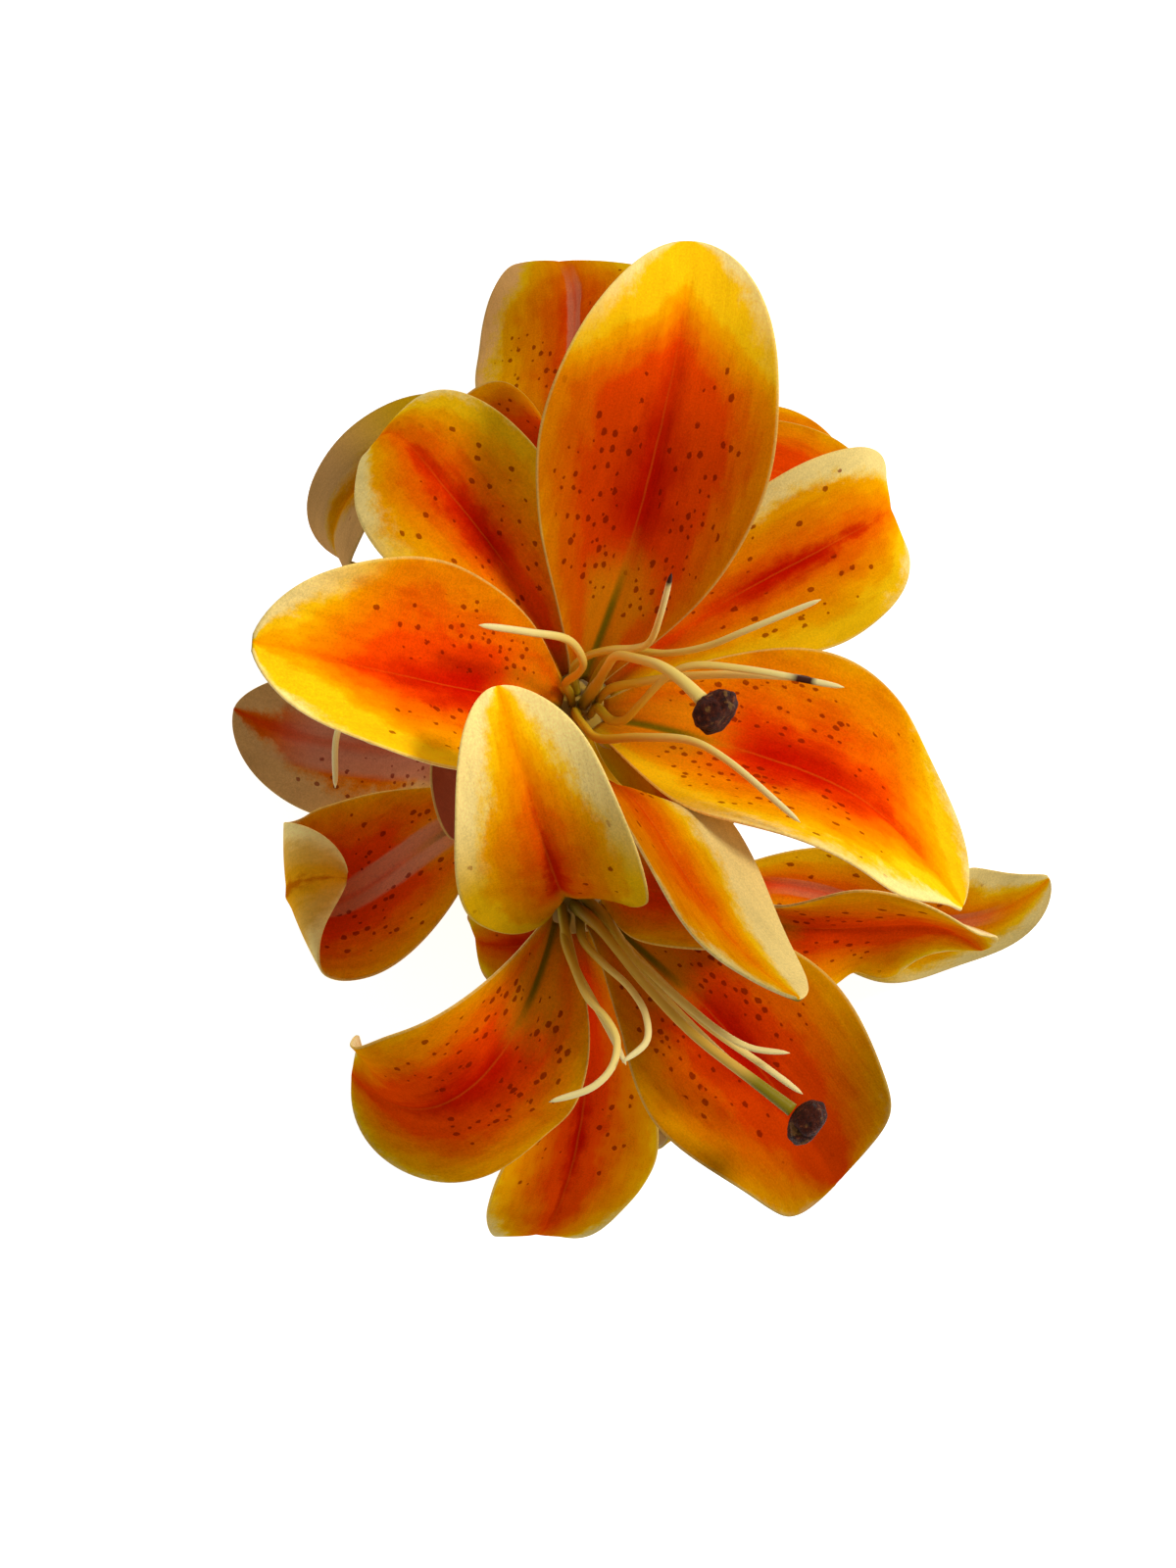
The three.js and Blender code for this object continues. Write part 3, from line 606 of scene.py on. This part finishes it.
def make_pistil(data, bloom, seed):
    course = spline(style_points(data, bloom), STYLE["steps"])
    share = np.linspace(0, 1, len(course))
    beyond = np.clip((share - STYLE["ovary_share"]) / (1 - STYLE["ovary_share"]), 0, 1)
    slimmer = (STYLE["ovary"] - STYLE["middle"]) * smooth(*STYLE["waist"], share)
    wider = (STYLE["tip"] - STYLE["middle"]) * beyond**5
    points, faces, lengths, shares = limb(course, STYLE["ovary"] - slimmer + wider, STYLE["sides"])
    marks = dict(share=shares, seed=seed, olive_end=data.get("olive_end", 0))
    place_fine(f"{data['name']}_pistil", "style", points, faces, lengths, marks)
    return course


def turn_to(direction):
    """The turn that takes +Y to a direction, as three rows."""
    direction = unit(np.asarray(direction, float))
    axis = np.cross([0, 1, 0], direction)
    cos = direction[1]
    skew = np.array([[0, -axis[2], axis[1]], [axis[2], 0, -axis[0]], [-axis[1], axis[0], 0]])
    return np.eye(3) + skew + skew @ skew / (1 + cos)


def make_stigma(data, course, seed):
    """A knob with three lobes, each creased down its middle and rough all over."""
    rings, sides = 30, 54
    length = STIGMA["radius"] * STIGMA["flatness"]
    polar = np.linspace(0, np.pi, rings + 1)[:, None]
    around = 2 * np.pi * np.arange(sides)[None, :] / sides
    three_bumps = np.abs(np.cos(1.5 * around)) ** 0.7
    lobes = 0.86 + 0.3 * three_bumps
    swell = STIGMA["radius"] * (1 + (lobes - 1) * np.sin(polar))
    pit = 1 - 0.25 * np.exp(-((polar / 0.5) ** 2))
    crumple = 1 + 0.035 * np.sin(5 * around + 7 * polar + seed) + 0.03 * np.sin(11 * around - 4 * polar)
    radius = swell * crumple * np.sin(polar)
    local = np.stack([
        radius * np.cos(around),
        length * pit * np.cos(polar) * np.ones_like(around),
        radius * np.sin(around),
    ], -1).reshape(-1, 3)
    ahead = unit(course[-1] - course[-2])
    points = local @ turn_to(ahead).T + course[-1] + ahead * (length + STIGMA["gap"])
    faces = []
    for i in range(rings):
        for j in range(sides):
            a, b = i * sides + j, i * sides + (j + 1) % sides
            faces.append([a, a + sides, b + sides, b])
    angles = np.stack(np.broadcast_arrays(around, polar), -1).reshape(-1, 2)
    place_fine(f"{data['name']}_stigma", "stigma", points, faces, angles, {})


def make_stem():
    fork = np.array(FORK, float)
    sides, steps = 28, 60
    course = bezier([*STEM_ROUTE, FORK], steps)
    parts = [limb(course, np.full(len(course), STEM_RADIUS), sides)]
    for data in BLOOMS:
        bloom = Bloom(data)
        end = bloom.beside(-CLAW_GAP, 0, 0)
        away = end - fork
        reach = np.linalg.norm(away)
        start = unit(away / reach + np.array([0, 0, PEDICEL["lift"]]))
        near = fork + start * PEDICEL["leave"] * reach
        far = end - bloom.axis * PEDICEL["arrive"] * reach
        course = bezier([fork, near, far, end], steps)
        swell = smooth(1 - PEDICEL["share"], 1, np.linspace(0, 1, len(course)))
        radii = PEDICEL["radius"] + (PEDICEL["receptacle"] - PEDICEL["radius"]) * swell
        parts.append(limb(course, radii, sides))
    points, faces, lengths, shares = joined(parts)
    place_fine("stem", "stem", points, faces, lengths, dict(share=shares))


# ---- materials ----------------------------------------------------------------------


class Paint:
    """A material whose nodes are made by short calls."""

    def __init__(self, name):
        self.material = bpy.data.materials.new(name)
        self.material.use_nodes = True
        self.tree = self.material.node_tree
        self.shader = self.tree.nodes["Principled BSDF"]

    def node(self, kind, *inputs, **settings):
        made = self.tree.nodes.new("ShaderNode" + kind)
        for label, value in settings.items():
            setattr(made, label, value)
        for socket, value in zip(made.inputs, inputs):
            self.feed(socket, value)
        return made

    def feed(self, socket, value):
        if value is None:
            return
        if isinstance(value, bpy.types.NodeSocket):
            self.tree.links.new(value, socket)
        elif socket.type == "RGBA":
            socket.default_value = (*value, 1)
        else:
            socket.default_value = value

    def math(self, operation, a, b=None, c=None):
        return self.node("Math", a, b, c, operation=operation).outputs[0]

    def add(self, total, *others):
        for other in others:
            total = self.math("ADD", total, other)
        return total

    def minus(self, a, b):
        return self.math("SUBTRACT", a, b)

    def times(self, product, *others):
        for other in others:
            product = self.math("MULTIPLY", product, other)
        return product

    def distance(self, a):
        """How far a value is from 0."""
        return self.math("ABSOLUTE", a)

    def map(self, value, low, high, to_low=0.0, to_high=1.0):
        """value run smoothly from low..high to to_low..to_high."""
        made = self.node("MapRange", value, low, high, to_low, to_high, interpolation_type="SMOOTHSTEP")
        return made.outputs["Result"]

    def mark(self, label):
        """A number that the mesh has on its points."""
        return self.node("Attribute", attribute_name=label).outputs["Fac"]

    def split(self, label):
        """The two values of a UV map."""
        vector = self.node("UVMap", uv_map=label).outputs["UV"]
        made = self.node("SeparateXYZ", vector)
        return made.outputs[0], made.outputs[1]

    def vector(self, x, y, z=0.0):
        return self.node("CombineXYZ", x, y, z).outputs[0]

    def noise(self, vector, scale, detail, rough=0.55):
        made = self.node("TexNoise", vector, None, scale, detail, rough, noise_dimensions="3D")
        return made.outputs["Fac"]

    def patches(self, place, across, along, seed, detail=3.0, rough=0.55):
        """Noise that changes so many times to a unit across and along a place."""
        x, y = place
        return self.noise(self.vector(self.times(x, across), self.times(y, along), seed), 1.0, detail, rough)

    def ramp(self, value, *stops):
        """A colour that runs smoothly from stop to stop."""
        made = self.node("ValToRGB", value)
        made.color_ramp.interpolation = "EASE"
        elements = made.color_ramp.elements
        while len(elements) < len(stops):
            elements.new(0.5)
        for element, (position, colour) in zip(elements, stops):
            element.position = position
            element.color = (*colour, 1)
        return made.outputs["Color"]

    def mix(self, share, a, b):
        """Colour a with a share of colour b. The node's colour sockets have these numbers."""
        made = self.node("Mix", share, data_type="RGBA")
        self.feed(made.inputs[6], a)
        self.feed(made.inputs[7], b)
        return made.outputs[2]

    def bump(self, height, distance, strength):
        made = self.node("Bump")
        self.feed(made.inputs["Height"], height)
        made.inputs["Distance"].default_value = distance
        made.inputs["Strength"].default_value = strength
        return made.outputs["Normal"]

    def set(self, **sockets):
        for label, value in sockets.items():
            self.feed(self.shader.inputs[label.replace("_", " ")], value)
        return self.material


def srgb(red, green, blue):
    """A screen colour, 0 to 255, in the renderer's own light units."""

    def linear(c):
        return c / 12.92 if c <= 0.04045 else ((c + 0.055) / 1.055) ** 2.4

    return tuple(linear(c / 255) for c in (red, green, blue))


RED = srgb(214, 22, 0)
FLAME = srgb(250, 74, 0)
ORANGE = srgb(250, 108, 0)
AMBER = srgb(251, 138, 0)
GOLD = srgb(252, 165, 0)
YELLOW = srgb(253, 194, 12)
CREAM = srgb(250, 222, 140)
TAN = srgb(248, 186, 112)
# painted highlight along the margins, where the rim catches the light
RIM_HIGHLIGHT = srgb(250, 214, 120)
SPOT = srgb(140, 24, 0)
OLIVE = srgb(112, 108, 8)
# painted sheen, a pale pink highlight along the midrib
PINK_SHEEN = srgb(232, 150, 112)
THROAT = srgb(250, 160, 10)
CLAW = srgb(170, 130, 20)
# painted highlight beside the midrib groove
MIDRIB_HIGHLIGHT = srgb(250, 130, 30)
BACK_STRIPE = srgb(140, 124, 40)
BACK_CLAW = srgb(150, 140, 50)
FLECK = srgb(150, 96, 30)
POLLEN = srgb(62, 22, 8)
OCHRE = srgb(200, 142, 20)
STYLE_END = srgb(140, 122, 0)
CREASE_DUST = srgb(176, 128, 60)
RECEPTACLE = srgb(170, 132, 20)


def tepal_marks(p, streaky, blotchy):
    """What both faces of a blade draw on: side runs from -1 to 1 across, v is side without its
    sign, s is the share of the length, and x and y, in place, are in centimetres. Streaks,
    blotches and grain lie about 0, and drift is a blend of the first two."""
    u, s = p.split("shares")
    place = p.split("lengths")
    seed = p.mark("seed")
    side = p.math("MULTIPLY_ADD", u, 2.0, -1.0)
    streaks = p.add(p.patches(place, 5.0, 0.7, seed, 5.0, 0.6), -0.5)
    blotches = p.add(p.patches(place, 1.6, 1.0, p.add(seed, 7.0), 6.0, 0.65), -0.5)
    grain = p.add(p.patches(place, 24.0, 19.0, seed, 3.0, 0.75), -0.5)
    drift = p.add(p.times(streaks, streaky), p.times(blotches, blotchy))
    return SimpleNamespace(side=side, v=p.distance(side), s=s, x=place[0], place=place, seed=seed,
                           streaks=streaks, blotches=blotches, grain=grain, drift=drift)


def lit(p, colour, tone):
    """A colour made lighter or darker by a tone, which carries painted light and shade and random variation.
    """
    made = p.node("HueSaturation")
    p.feed(made.inputs["Value"], tone)
    p.feed(made.inputs["Color"], colour)
    return made.outputs["Color"]


def ground(p, m):
    """Orange in the middle of the blade, gold at its margins and yellow at its tip."""
    warm = p.add(p.mark("warm"), p.times(p.minus(0.0, p.mark("tilt")), m.side))
    spread = p.minus(p.math("MULTIPLY_ADD", m.v, 1.25, m.drift), warm)
    spread = p.add(spread, p.times(p.map(m.s, 0.62, 0.97), p.mark("ripe")))
    return p.ramp(spread, (0.0, FLAME), (0.25, ORANGE), (0.5, AMBER), (0.78, GOLD), (1.0, YELLOW))


def red_midrib(p, m, zone, colour):
    """Red along the midrib, broad in the middle of the blade and a thin streak towards the tip."""
    breadth = p.times(p.map(m.s, 0.4, 0.85, 0.5, 0.08), p.mark("core"))
    core = p.times(p.map(p.add(m.v, p.times(m.drift, 0.6)), breadth, 0.0), zone)
    return p.mix(p.times(core, p.mark("deep")), colour, RED)


def throat_and_claw(p, m, colour):
    """The inner tepals have a golden throat with a green groove, and every claw is duller."""
    throat = p.mark("throat")
    patch = p.map(p.add(m.s, p.times(m.v, 0.12), p.times(m.drift, 0.25)), 0.4, 0.24)
    patch = p.times(patch, p.map(p.add(m.v, m.drift), 0.75, 0.3))
    colour = p.mix(p.times(patch, 0.8, throat), colour, THROAT)
    green = p.map(p.add(m.s, p.times(m.drift, 0.1)), 0.34, 0.18)
    green = p.times(green, p.map(p.distance(m.x), 0.15, 0.02))
    colour = p.mix(p.times(green, 0.9, throat), colour, OLIVE)
    return p.mix(p.times(p.map(m.s, 0.12, 0.0), 0.5), colour, CLAW)


def painted_highlight_line(p, m, zone, colour):
    """A painted highlight: a thin pale line beside the groove, beyond the throat."""
    beside = p.distance(p.add(m.x, p.math("MULTIPLY_ADD", m.drift, 0.1, 0.03)))
    line = p.times(p.map(beside, 0.035, 0.005), zone)
    return p.mix(p.times(line, 0.22), colour, MIDRIB_HIGHLIGHT)


def pale_patches(p, m, colour):
    """Pale patches reach in from the margins, with feathered borders. They are drawn tan, a painted shade of
    cream, where shine is low.
    """
    reach = p.times(p.mark("cream"), p.add(p.times(p.mark("lean"), m.side), 1.0))
    feather = p.add(p.patches(m.place, 5.0, 3.4, p.add(m.seed, 3.0), 6.0, 0.75), -0.5)
    tip = p.map(m.s, 0.55, 1.0)
    wash = p.add(m.v, p.times(tip, 0.35), p.times(feather, 0.5), p.times(m.blotches, 0.6))
    edge = p.minus(1.25, p.times(reach, 0.55))
    begins = p.map(p.minus(m.s, p.mark("start")), -0.1, 0.15)
    pale = p.times(p.map(p.minus(wash, edge), -0.14, 0.16), begins)
    # Painted shade: tan in place of cream on blades whose tip is drawn darker.
    cream = p.mix(p.map(p.mark("shine"), 0.6, 0.68), TAN, CREAM)
    return p.mix(p.times(pale, 0.95), colour, cream)


def painted_sheen(p, m, colour):
    """A painted sheen: a pale pink highlight along the midrib of some blades, darker along its middle."""
    off = p.add(p.distance(p.add(m.x, p.times(m.drift, 0.2))), p.times(m.streaks, 0.2))
    share = p.math("DIVIDE", off, p.mark("band"))
    inside = p.map(share, 1.1, 0.8)
    ends = p.times(p.map(m.s, 0.1, 0.25), p.map(m.s, 0.88, 0.65))
    seam = p.map(share, 0.0, 0.3, 0.6, 1.0)
    strength = p.times(p.mark("blush"), 0.85)
    return p.mix(p.times(inside, ends, seam, strength), colour, PINK_SHEEN)


def spots_on(p, m):
    """1 inside the small dark spots on both sides of the midrib, drawn out along the blade."""
    x, y = m.place
    wobble = p.times(p.add(p.patches(m.place, 9.0, 9.0, m.seed, 2.0), -0.5), 0.3)
    across = p.add(p.times(x, 4.6), wobble, p.times(m.seed, 13.7))
    along = p.add(p.times(y, 3.2), wobble, p.times(m.seed, 5.3))
    cells = p.node("TexVoronoi", feature="F1", voronoi_dimensions="2D")
    p.feed(cells.inputs["Vector"], p.vector(across, along))
    p.feed(cells.inputs["Scale"], 1.0)
    chance = p.node("SeparateXYZ", cells.outputs["Color"])
    size = p.map(chance.outputs[1], 0.0, 1.0, 0.1, 0.28)
    dot = p.map(p.minus(cells.outputs["Distance"], size), 0.05, -0.04)
    across_zone = p.times(p.map(m.v, 0.08, 0.24), p.map(m.v, 0.92, 0.55))
    along_zone = p.times(p.map(m.s, 0.12, 0.26), p.map(m.s, 0.82, 0.3))
    wanted = p.times(across_zone, along_zone, p.mark("dots"), 0.75)
    kept = p.map(p.minus(wanted, chance.outputs[0]), -0.01, 0.01)
    return p.times(dot, kept)


def tepal_face():
    p = Paint("tepal_face")
    m = tepal_marks(p, 0.2, 0.6)
    zone = p.times(p.map(m.s, 0.24, 0.42), p.map(m.s, 0.94, 0.5))
    colour = red_midrib(p, m, zone, ground(p, m))
    colour = painted_highlight_line(p, m, zone, throat_and_claw(p, m, colour))
    colour = painted_sheen(p, m, pale_patches(p, m, colour))
    spots = spots_on(p, m)
    colour = p.mix(p.times(spots, 0.75), colour, SPOT)
    # Painted highlight: a pale line along the margin, where the rim catches the light.
    colour = p.mix(p.times(p.map(m.v, 0.98, 1.0), 0.55), colour, RIM_HIGHLIGHT)
    # Painted light and shade: the blade is drawn lighter or darker below and at its tip, with random tone
    # from its grain, streaks and blotches.
    sun, shine = p.mark("sun"), p.mark("shine")
    light = p.add(sun, p.times(p.minus(shine, sun), p.map(m.s, 0.5, 0.95)))
    relief = p.add(p.times(m.grain, 0.8), p.times(m.streaks, 0.35), p.times(m.blotches, 0.3))
    # Painted shade: one side of the blade drawn darker, the other lighter.
    shade = p.times(p.mark("tilt"), m.side, 0.35)
    colour = lit(p, colour, p.times(light, p.add(relief, shade, 1.0)))
    ridges = p.patches(m.place, 12.0, 0.8, m.seed)
    height = p.add(p.times(ridges, 0.6), p.add(p.times(m.grain, 0.35), p.times(spots, 0.5)))
    rough = p.map(m.grain, -0.3, 0.3, 0.42, 0.6)
    return p.set(Base_Color=colour, Roughness=rough, Specular_IOR_Level=0.0,
                 Normal=p.bump(height, 0.00022, 0.6))


def tepal_back():
    p = Paint("tepal_back")
    m = tepal_marks(p, 0.3, 0.5)
    off = p.add(m.v, m.drift)
    tan = p.ramp(off, (0.0, srgb(196, 140, 60)), (0.4, srgb(214, 156, 78)), (0.8, srgb(226, 180, 110)),
                 (1.0, srgb(240, 214, 160)))
    tan = p.mix(p.times(p.map(p.distance(m.x), 0.25, 0.08), 0.75), tan, BACK_STRIPE)
    gold = p.ramp(off, (0.0, srgb(206, 110, 0)), (0.12, srgb(240, 166, 20)), (0.5, srgb(232, 176, 70)),
                  (1.0, CREAM))
    # Painted shade: a dark red-brown back for some blades, the red of a tepal's face darkened as in shade.
    brown = p.ramp(p.add(m.streaks, p.math("MULTIPLY_ADD", m.side, 0.5, 0.5)), (0.2, srgb(150, 62, 34)),
                   (0.5, srgb(190, 92, 60)), (0.8, srgb(170, 78, 50)))
    colour = p.mix(p.mark("ruddy"), p.mix(p.mark("gilt"), tan, gold), brown)
    colour = p.mix(p.map(m.s, 0.25, 0.0), colour, BACK_CLAW)
    # Painted highlight: a pale line along the margin, where the rim catches the light.
    colour = p.mix(p.times(p.map(m.v, 0.98, 1.0), 0.5), colour, RIM_HIGHLIGHT)
    relief = p.add(p.times(m.grain, 0.7), p.times(m.streaks, 0.4), p.times(m.blotches, 0.3))
    # Painted light and shade: the back is drawn as light as its sun, with random tone.
    colour = lit(p, colour, p.times(p.mark("sun"), p.add(relief, 1.15)))
    height = p.add(p.times(p.patches(m.place, 10.0, 0.7, m.seed), 0.8), p.times(m.grain, 0.3))
    rough = p.map(m.grain, -0.3, 0.3, 0.5, 0.65)
    return p.set(Base_Color=colour, Roughness=rough, Specular_IOR_Level=0.0,
                 Normal=p.bump(height, 0.00025, 0.6))


def streaked(p, colour, streaks, grain):
    """The surface of a filament or a style, with fine ridges along it."""
    height = p.add(p.times(streaks, 0.7), p.times(grain, 0.3))
    return p.set(Base_Color=colour, Roughness=p.map(grain, 0.2, 0.8, 0.4, 0.55), Specular_IOR_Level=0.2,
                 Normal=p.bump(height, 0.0002, 0.5))


def filament():
    p = Paint("filament")
    place, seed = p.split("lengths"), p.mark("seed")
    streaks = p.patches(place, 7.0, 1.2, seed)
    grain = p.patches(place, 14.0, 24.0, seed, rough=0.7)
    along = p.add(p.mark("share"), p.times(p.add(streaks, -0.5), 0.15))
    colour = p.ramp(along, (0.0, srgb(186, 156, 16)), (0.3, srgb(226, 188, 44)), (0.6, srgb(240, 212, 108)),
                    (1.0, srgb(246, 228, 158)))
    colour = p.mix(p.times(p.map(grain, 0.64, 0.74), 0.4), colour, FLECK)
    return streaked(p, p.mix(p.mark("dark"), colour, POLLEN), streaks, grain)


def style():
    p = Paint("style")
    place, seed, share = p.split("lengths"), p.mark("seed"), p.mark("share")
    streaks = p.patches(place, 6.0, 0.9, seed)
    grain = p.patches(place, 14.0, 20.0, seed, rough=0.7)
    along = p.add(share, p.times(p.add(streaks, -0.5), 0.12))
    colour = p.ramp(along, (0.0, srgb(160, 140, 20)), (0.22, srgb(208, 172, 40)), (0.55, srgb(234, 196, 76)),
                    (1.0, srgb(240, 210, 112)))
    # Some styles turn ochre along their outer half and olive at the end.
    olive_end = p.mark("olive_end")
    colour = p.mix(p.times(p.map(share, 0.3, 0.7, 0.0, 0.6), olive_end), colour, OCHRE)
    colour = p.mix(p.times(p.map(share, 0.82, 0.9), olive_end), colour, STYLE_END)
    return streaked(p, colour, streaks, grain)


def stigma():
    p = Paint("stigma")
    metres = p.node("TexCoord").outputs["Object"]
    crumple = p.noise(metres, 900.0, 5.0, 0.65)
    creases = p.noise(metres, 350.0, 3.0)
    colour = p.ramp(crumple, (0.35, srgb(40, 10, 2)), (0.55, srgb(72, 24, 8)), (0.72, srgb(134, 70, 36)))
    colour = p.mix(p.times(p.map(creases, 0.58, 0.68), 0.35), colour, CREASE_DUST)
    return p.set(Base_Color=colour, Roughness=p.map(crumple, 0.2, 0.8, 0.5, 0.8), Specular_IOR_Level=0.15,
                 Normal=p.bump(crumple, 0.0012, 0.9))


def stem_green():
    p = Paint("stem_green")
    place = p.split("lengths")
    streaks = p.patches(place, 16.0, 0.8, 2.0, 4.0)
    blotches = p.patches(place, 3.0, 1.4, 5.0, 4.0)
    grain = p.patches(place, 40.0, 18.0, 2.0, rough=0.7)
    colour = p.ramp(p.add(p.times(streaks, 0.6), p.times(blotches, 0.4)), (0.3, srgb(78, 104, 34)),
                    (0.5, srgb(108, 136, 50)), (0.7, srgb(146, 162, 72)))
    colour = p.mix(p.map(p.mark("share"), 0.95, 0.99), colour, RECEPTACLE)
    height = p.add(p.times(streaks, 0.7), p.times(grain, 0.3))
    return p.set(Base_Color=colour, Roughness=p.map(grain, 0.2, 0.8, 0.45, 0.65),
                 Normal=p.bump(height, 0.0003, 0.6))


MATERIALS = dict(
    tepal_face=tepal_face(),
    tepal_back=tepal_back(),
    filament=filament(),
    style=style(),
    stigma=stigma(),
    stem=stem_green(),
)

# ---- the flower ---------------------------------------------------------------------

seed = 1.0
for data in BLOOMS:
    bloom = Bloom(data)
    for kind in ("inner", "outer"):
        for number, (pose, traits) in enumerate(data[kind], 1):
            make_tepal(bloom, f"{data['name']}_{kind}_tepal_{number}", kind, pose, traits, seed)
            seed += SEED_STEP
    make_stamens(data, bloom, seed)
    style_course = make_pistil(data, bloom, seed)
    make_stigma(data, style_course, seed)
make_stem()

# ---- floor, light and camera --------------------------------------------------------

FLOOR_REACH = 6  # metres to each side
FLOWER_MIDDLE = np.array([0, 0, 0.12])  # metres; the lights face it
SKY = 0.26  # strength of the even light from all around
CAMERA_HEIGHT = 600  # millimetres above the middle of the front bloom's ring of claws
LENS, SENSOR = 61.36, 36  # at that height the photo's 1600 pixels are 352 mm long
WHITE = (1, 1, 1)


def make_floor():
    mesh = bpy.data.meshes.new("floor")
    r = FLOOR_REACH
    mesh.from_pydata([(-r, -r, 0), (r, -r, 0), (r, r, 0), (-r, r, 0)], [], [(0, 1, 2, 3)])
    floor = bpy.data.objects.new("floor", mesh)
    bpy.context.collection.objects.link(floor)
    p = Paint("floor_white")
    white = p.set(Base_Color=(0.9, 0.9, 0.9), Roughness=0.9, Emission_Color=WHITE, Emission_Strength=0.8)
    mesh.materials.append(white)


def make_light(name, at, size, power, colour):
    """A square soft light that faces the middle of the flower."""
    data = bpy.data.lights.new(name, "AREA")
    data.shape = "SQUARE"
    data.size = size
    data.energy = power
    data.color = colour
    light = bpy.data.objects.new(name, data)
    light.location = at
    aim = FLOWER_MIDDLE - np.array(at)
    light.rotation_mode = "QUATERNION"
    light.rotation_quaternion = Vector(aim.tolist()).to_track_quat("-Z", "Y")
    bpy.context.collection.objects.link(light)


def make_sky():
    world = bpy.data.worlds.new("studio")
    world.use_nodes = True
    sky = world.node_tree.nodes["Background"]
    sky.inputs["Color"].default_value = (*WHITE, 1)
    sky.inputs["Strength"].default_value = SKY
    bpy.context.scene.world = world


def make_camera():
    data = bpy.data.cameras.new("camera")
    data.lens = LENS
    data.sensor_width = SENSOR
    data.clip_start = 0.01
    data.clip_end = 50
    camera = bpy.data.objects.new("camera", data)
    camera.location = (SHIFT + [0, 0, CAMERA_HEIGHT]) * MM
    bpy.context.collection.objects.link(camera)
    bpy.context.scene.camera = camera


make_floor()
make_light("key", at=(1.05, 0.65, 1.45), size=0.4, power=21, colour=(1.0, 0.97, 0.9))
make_light("fill", at=(-0.7, 0.5, 1.6), size=1.6, power=2, colour=WHITE)
make_sky()
bpy.context.scene.view_settings.view_transform = "Standard"
make_camera()
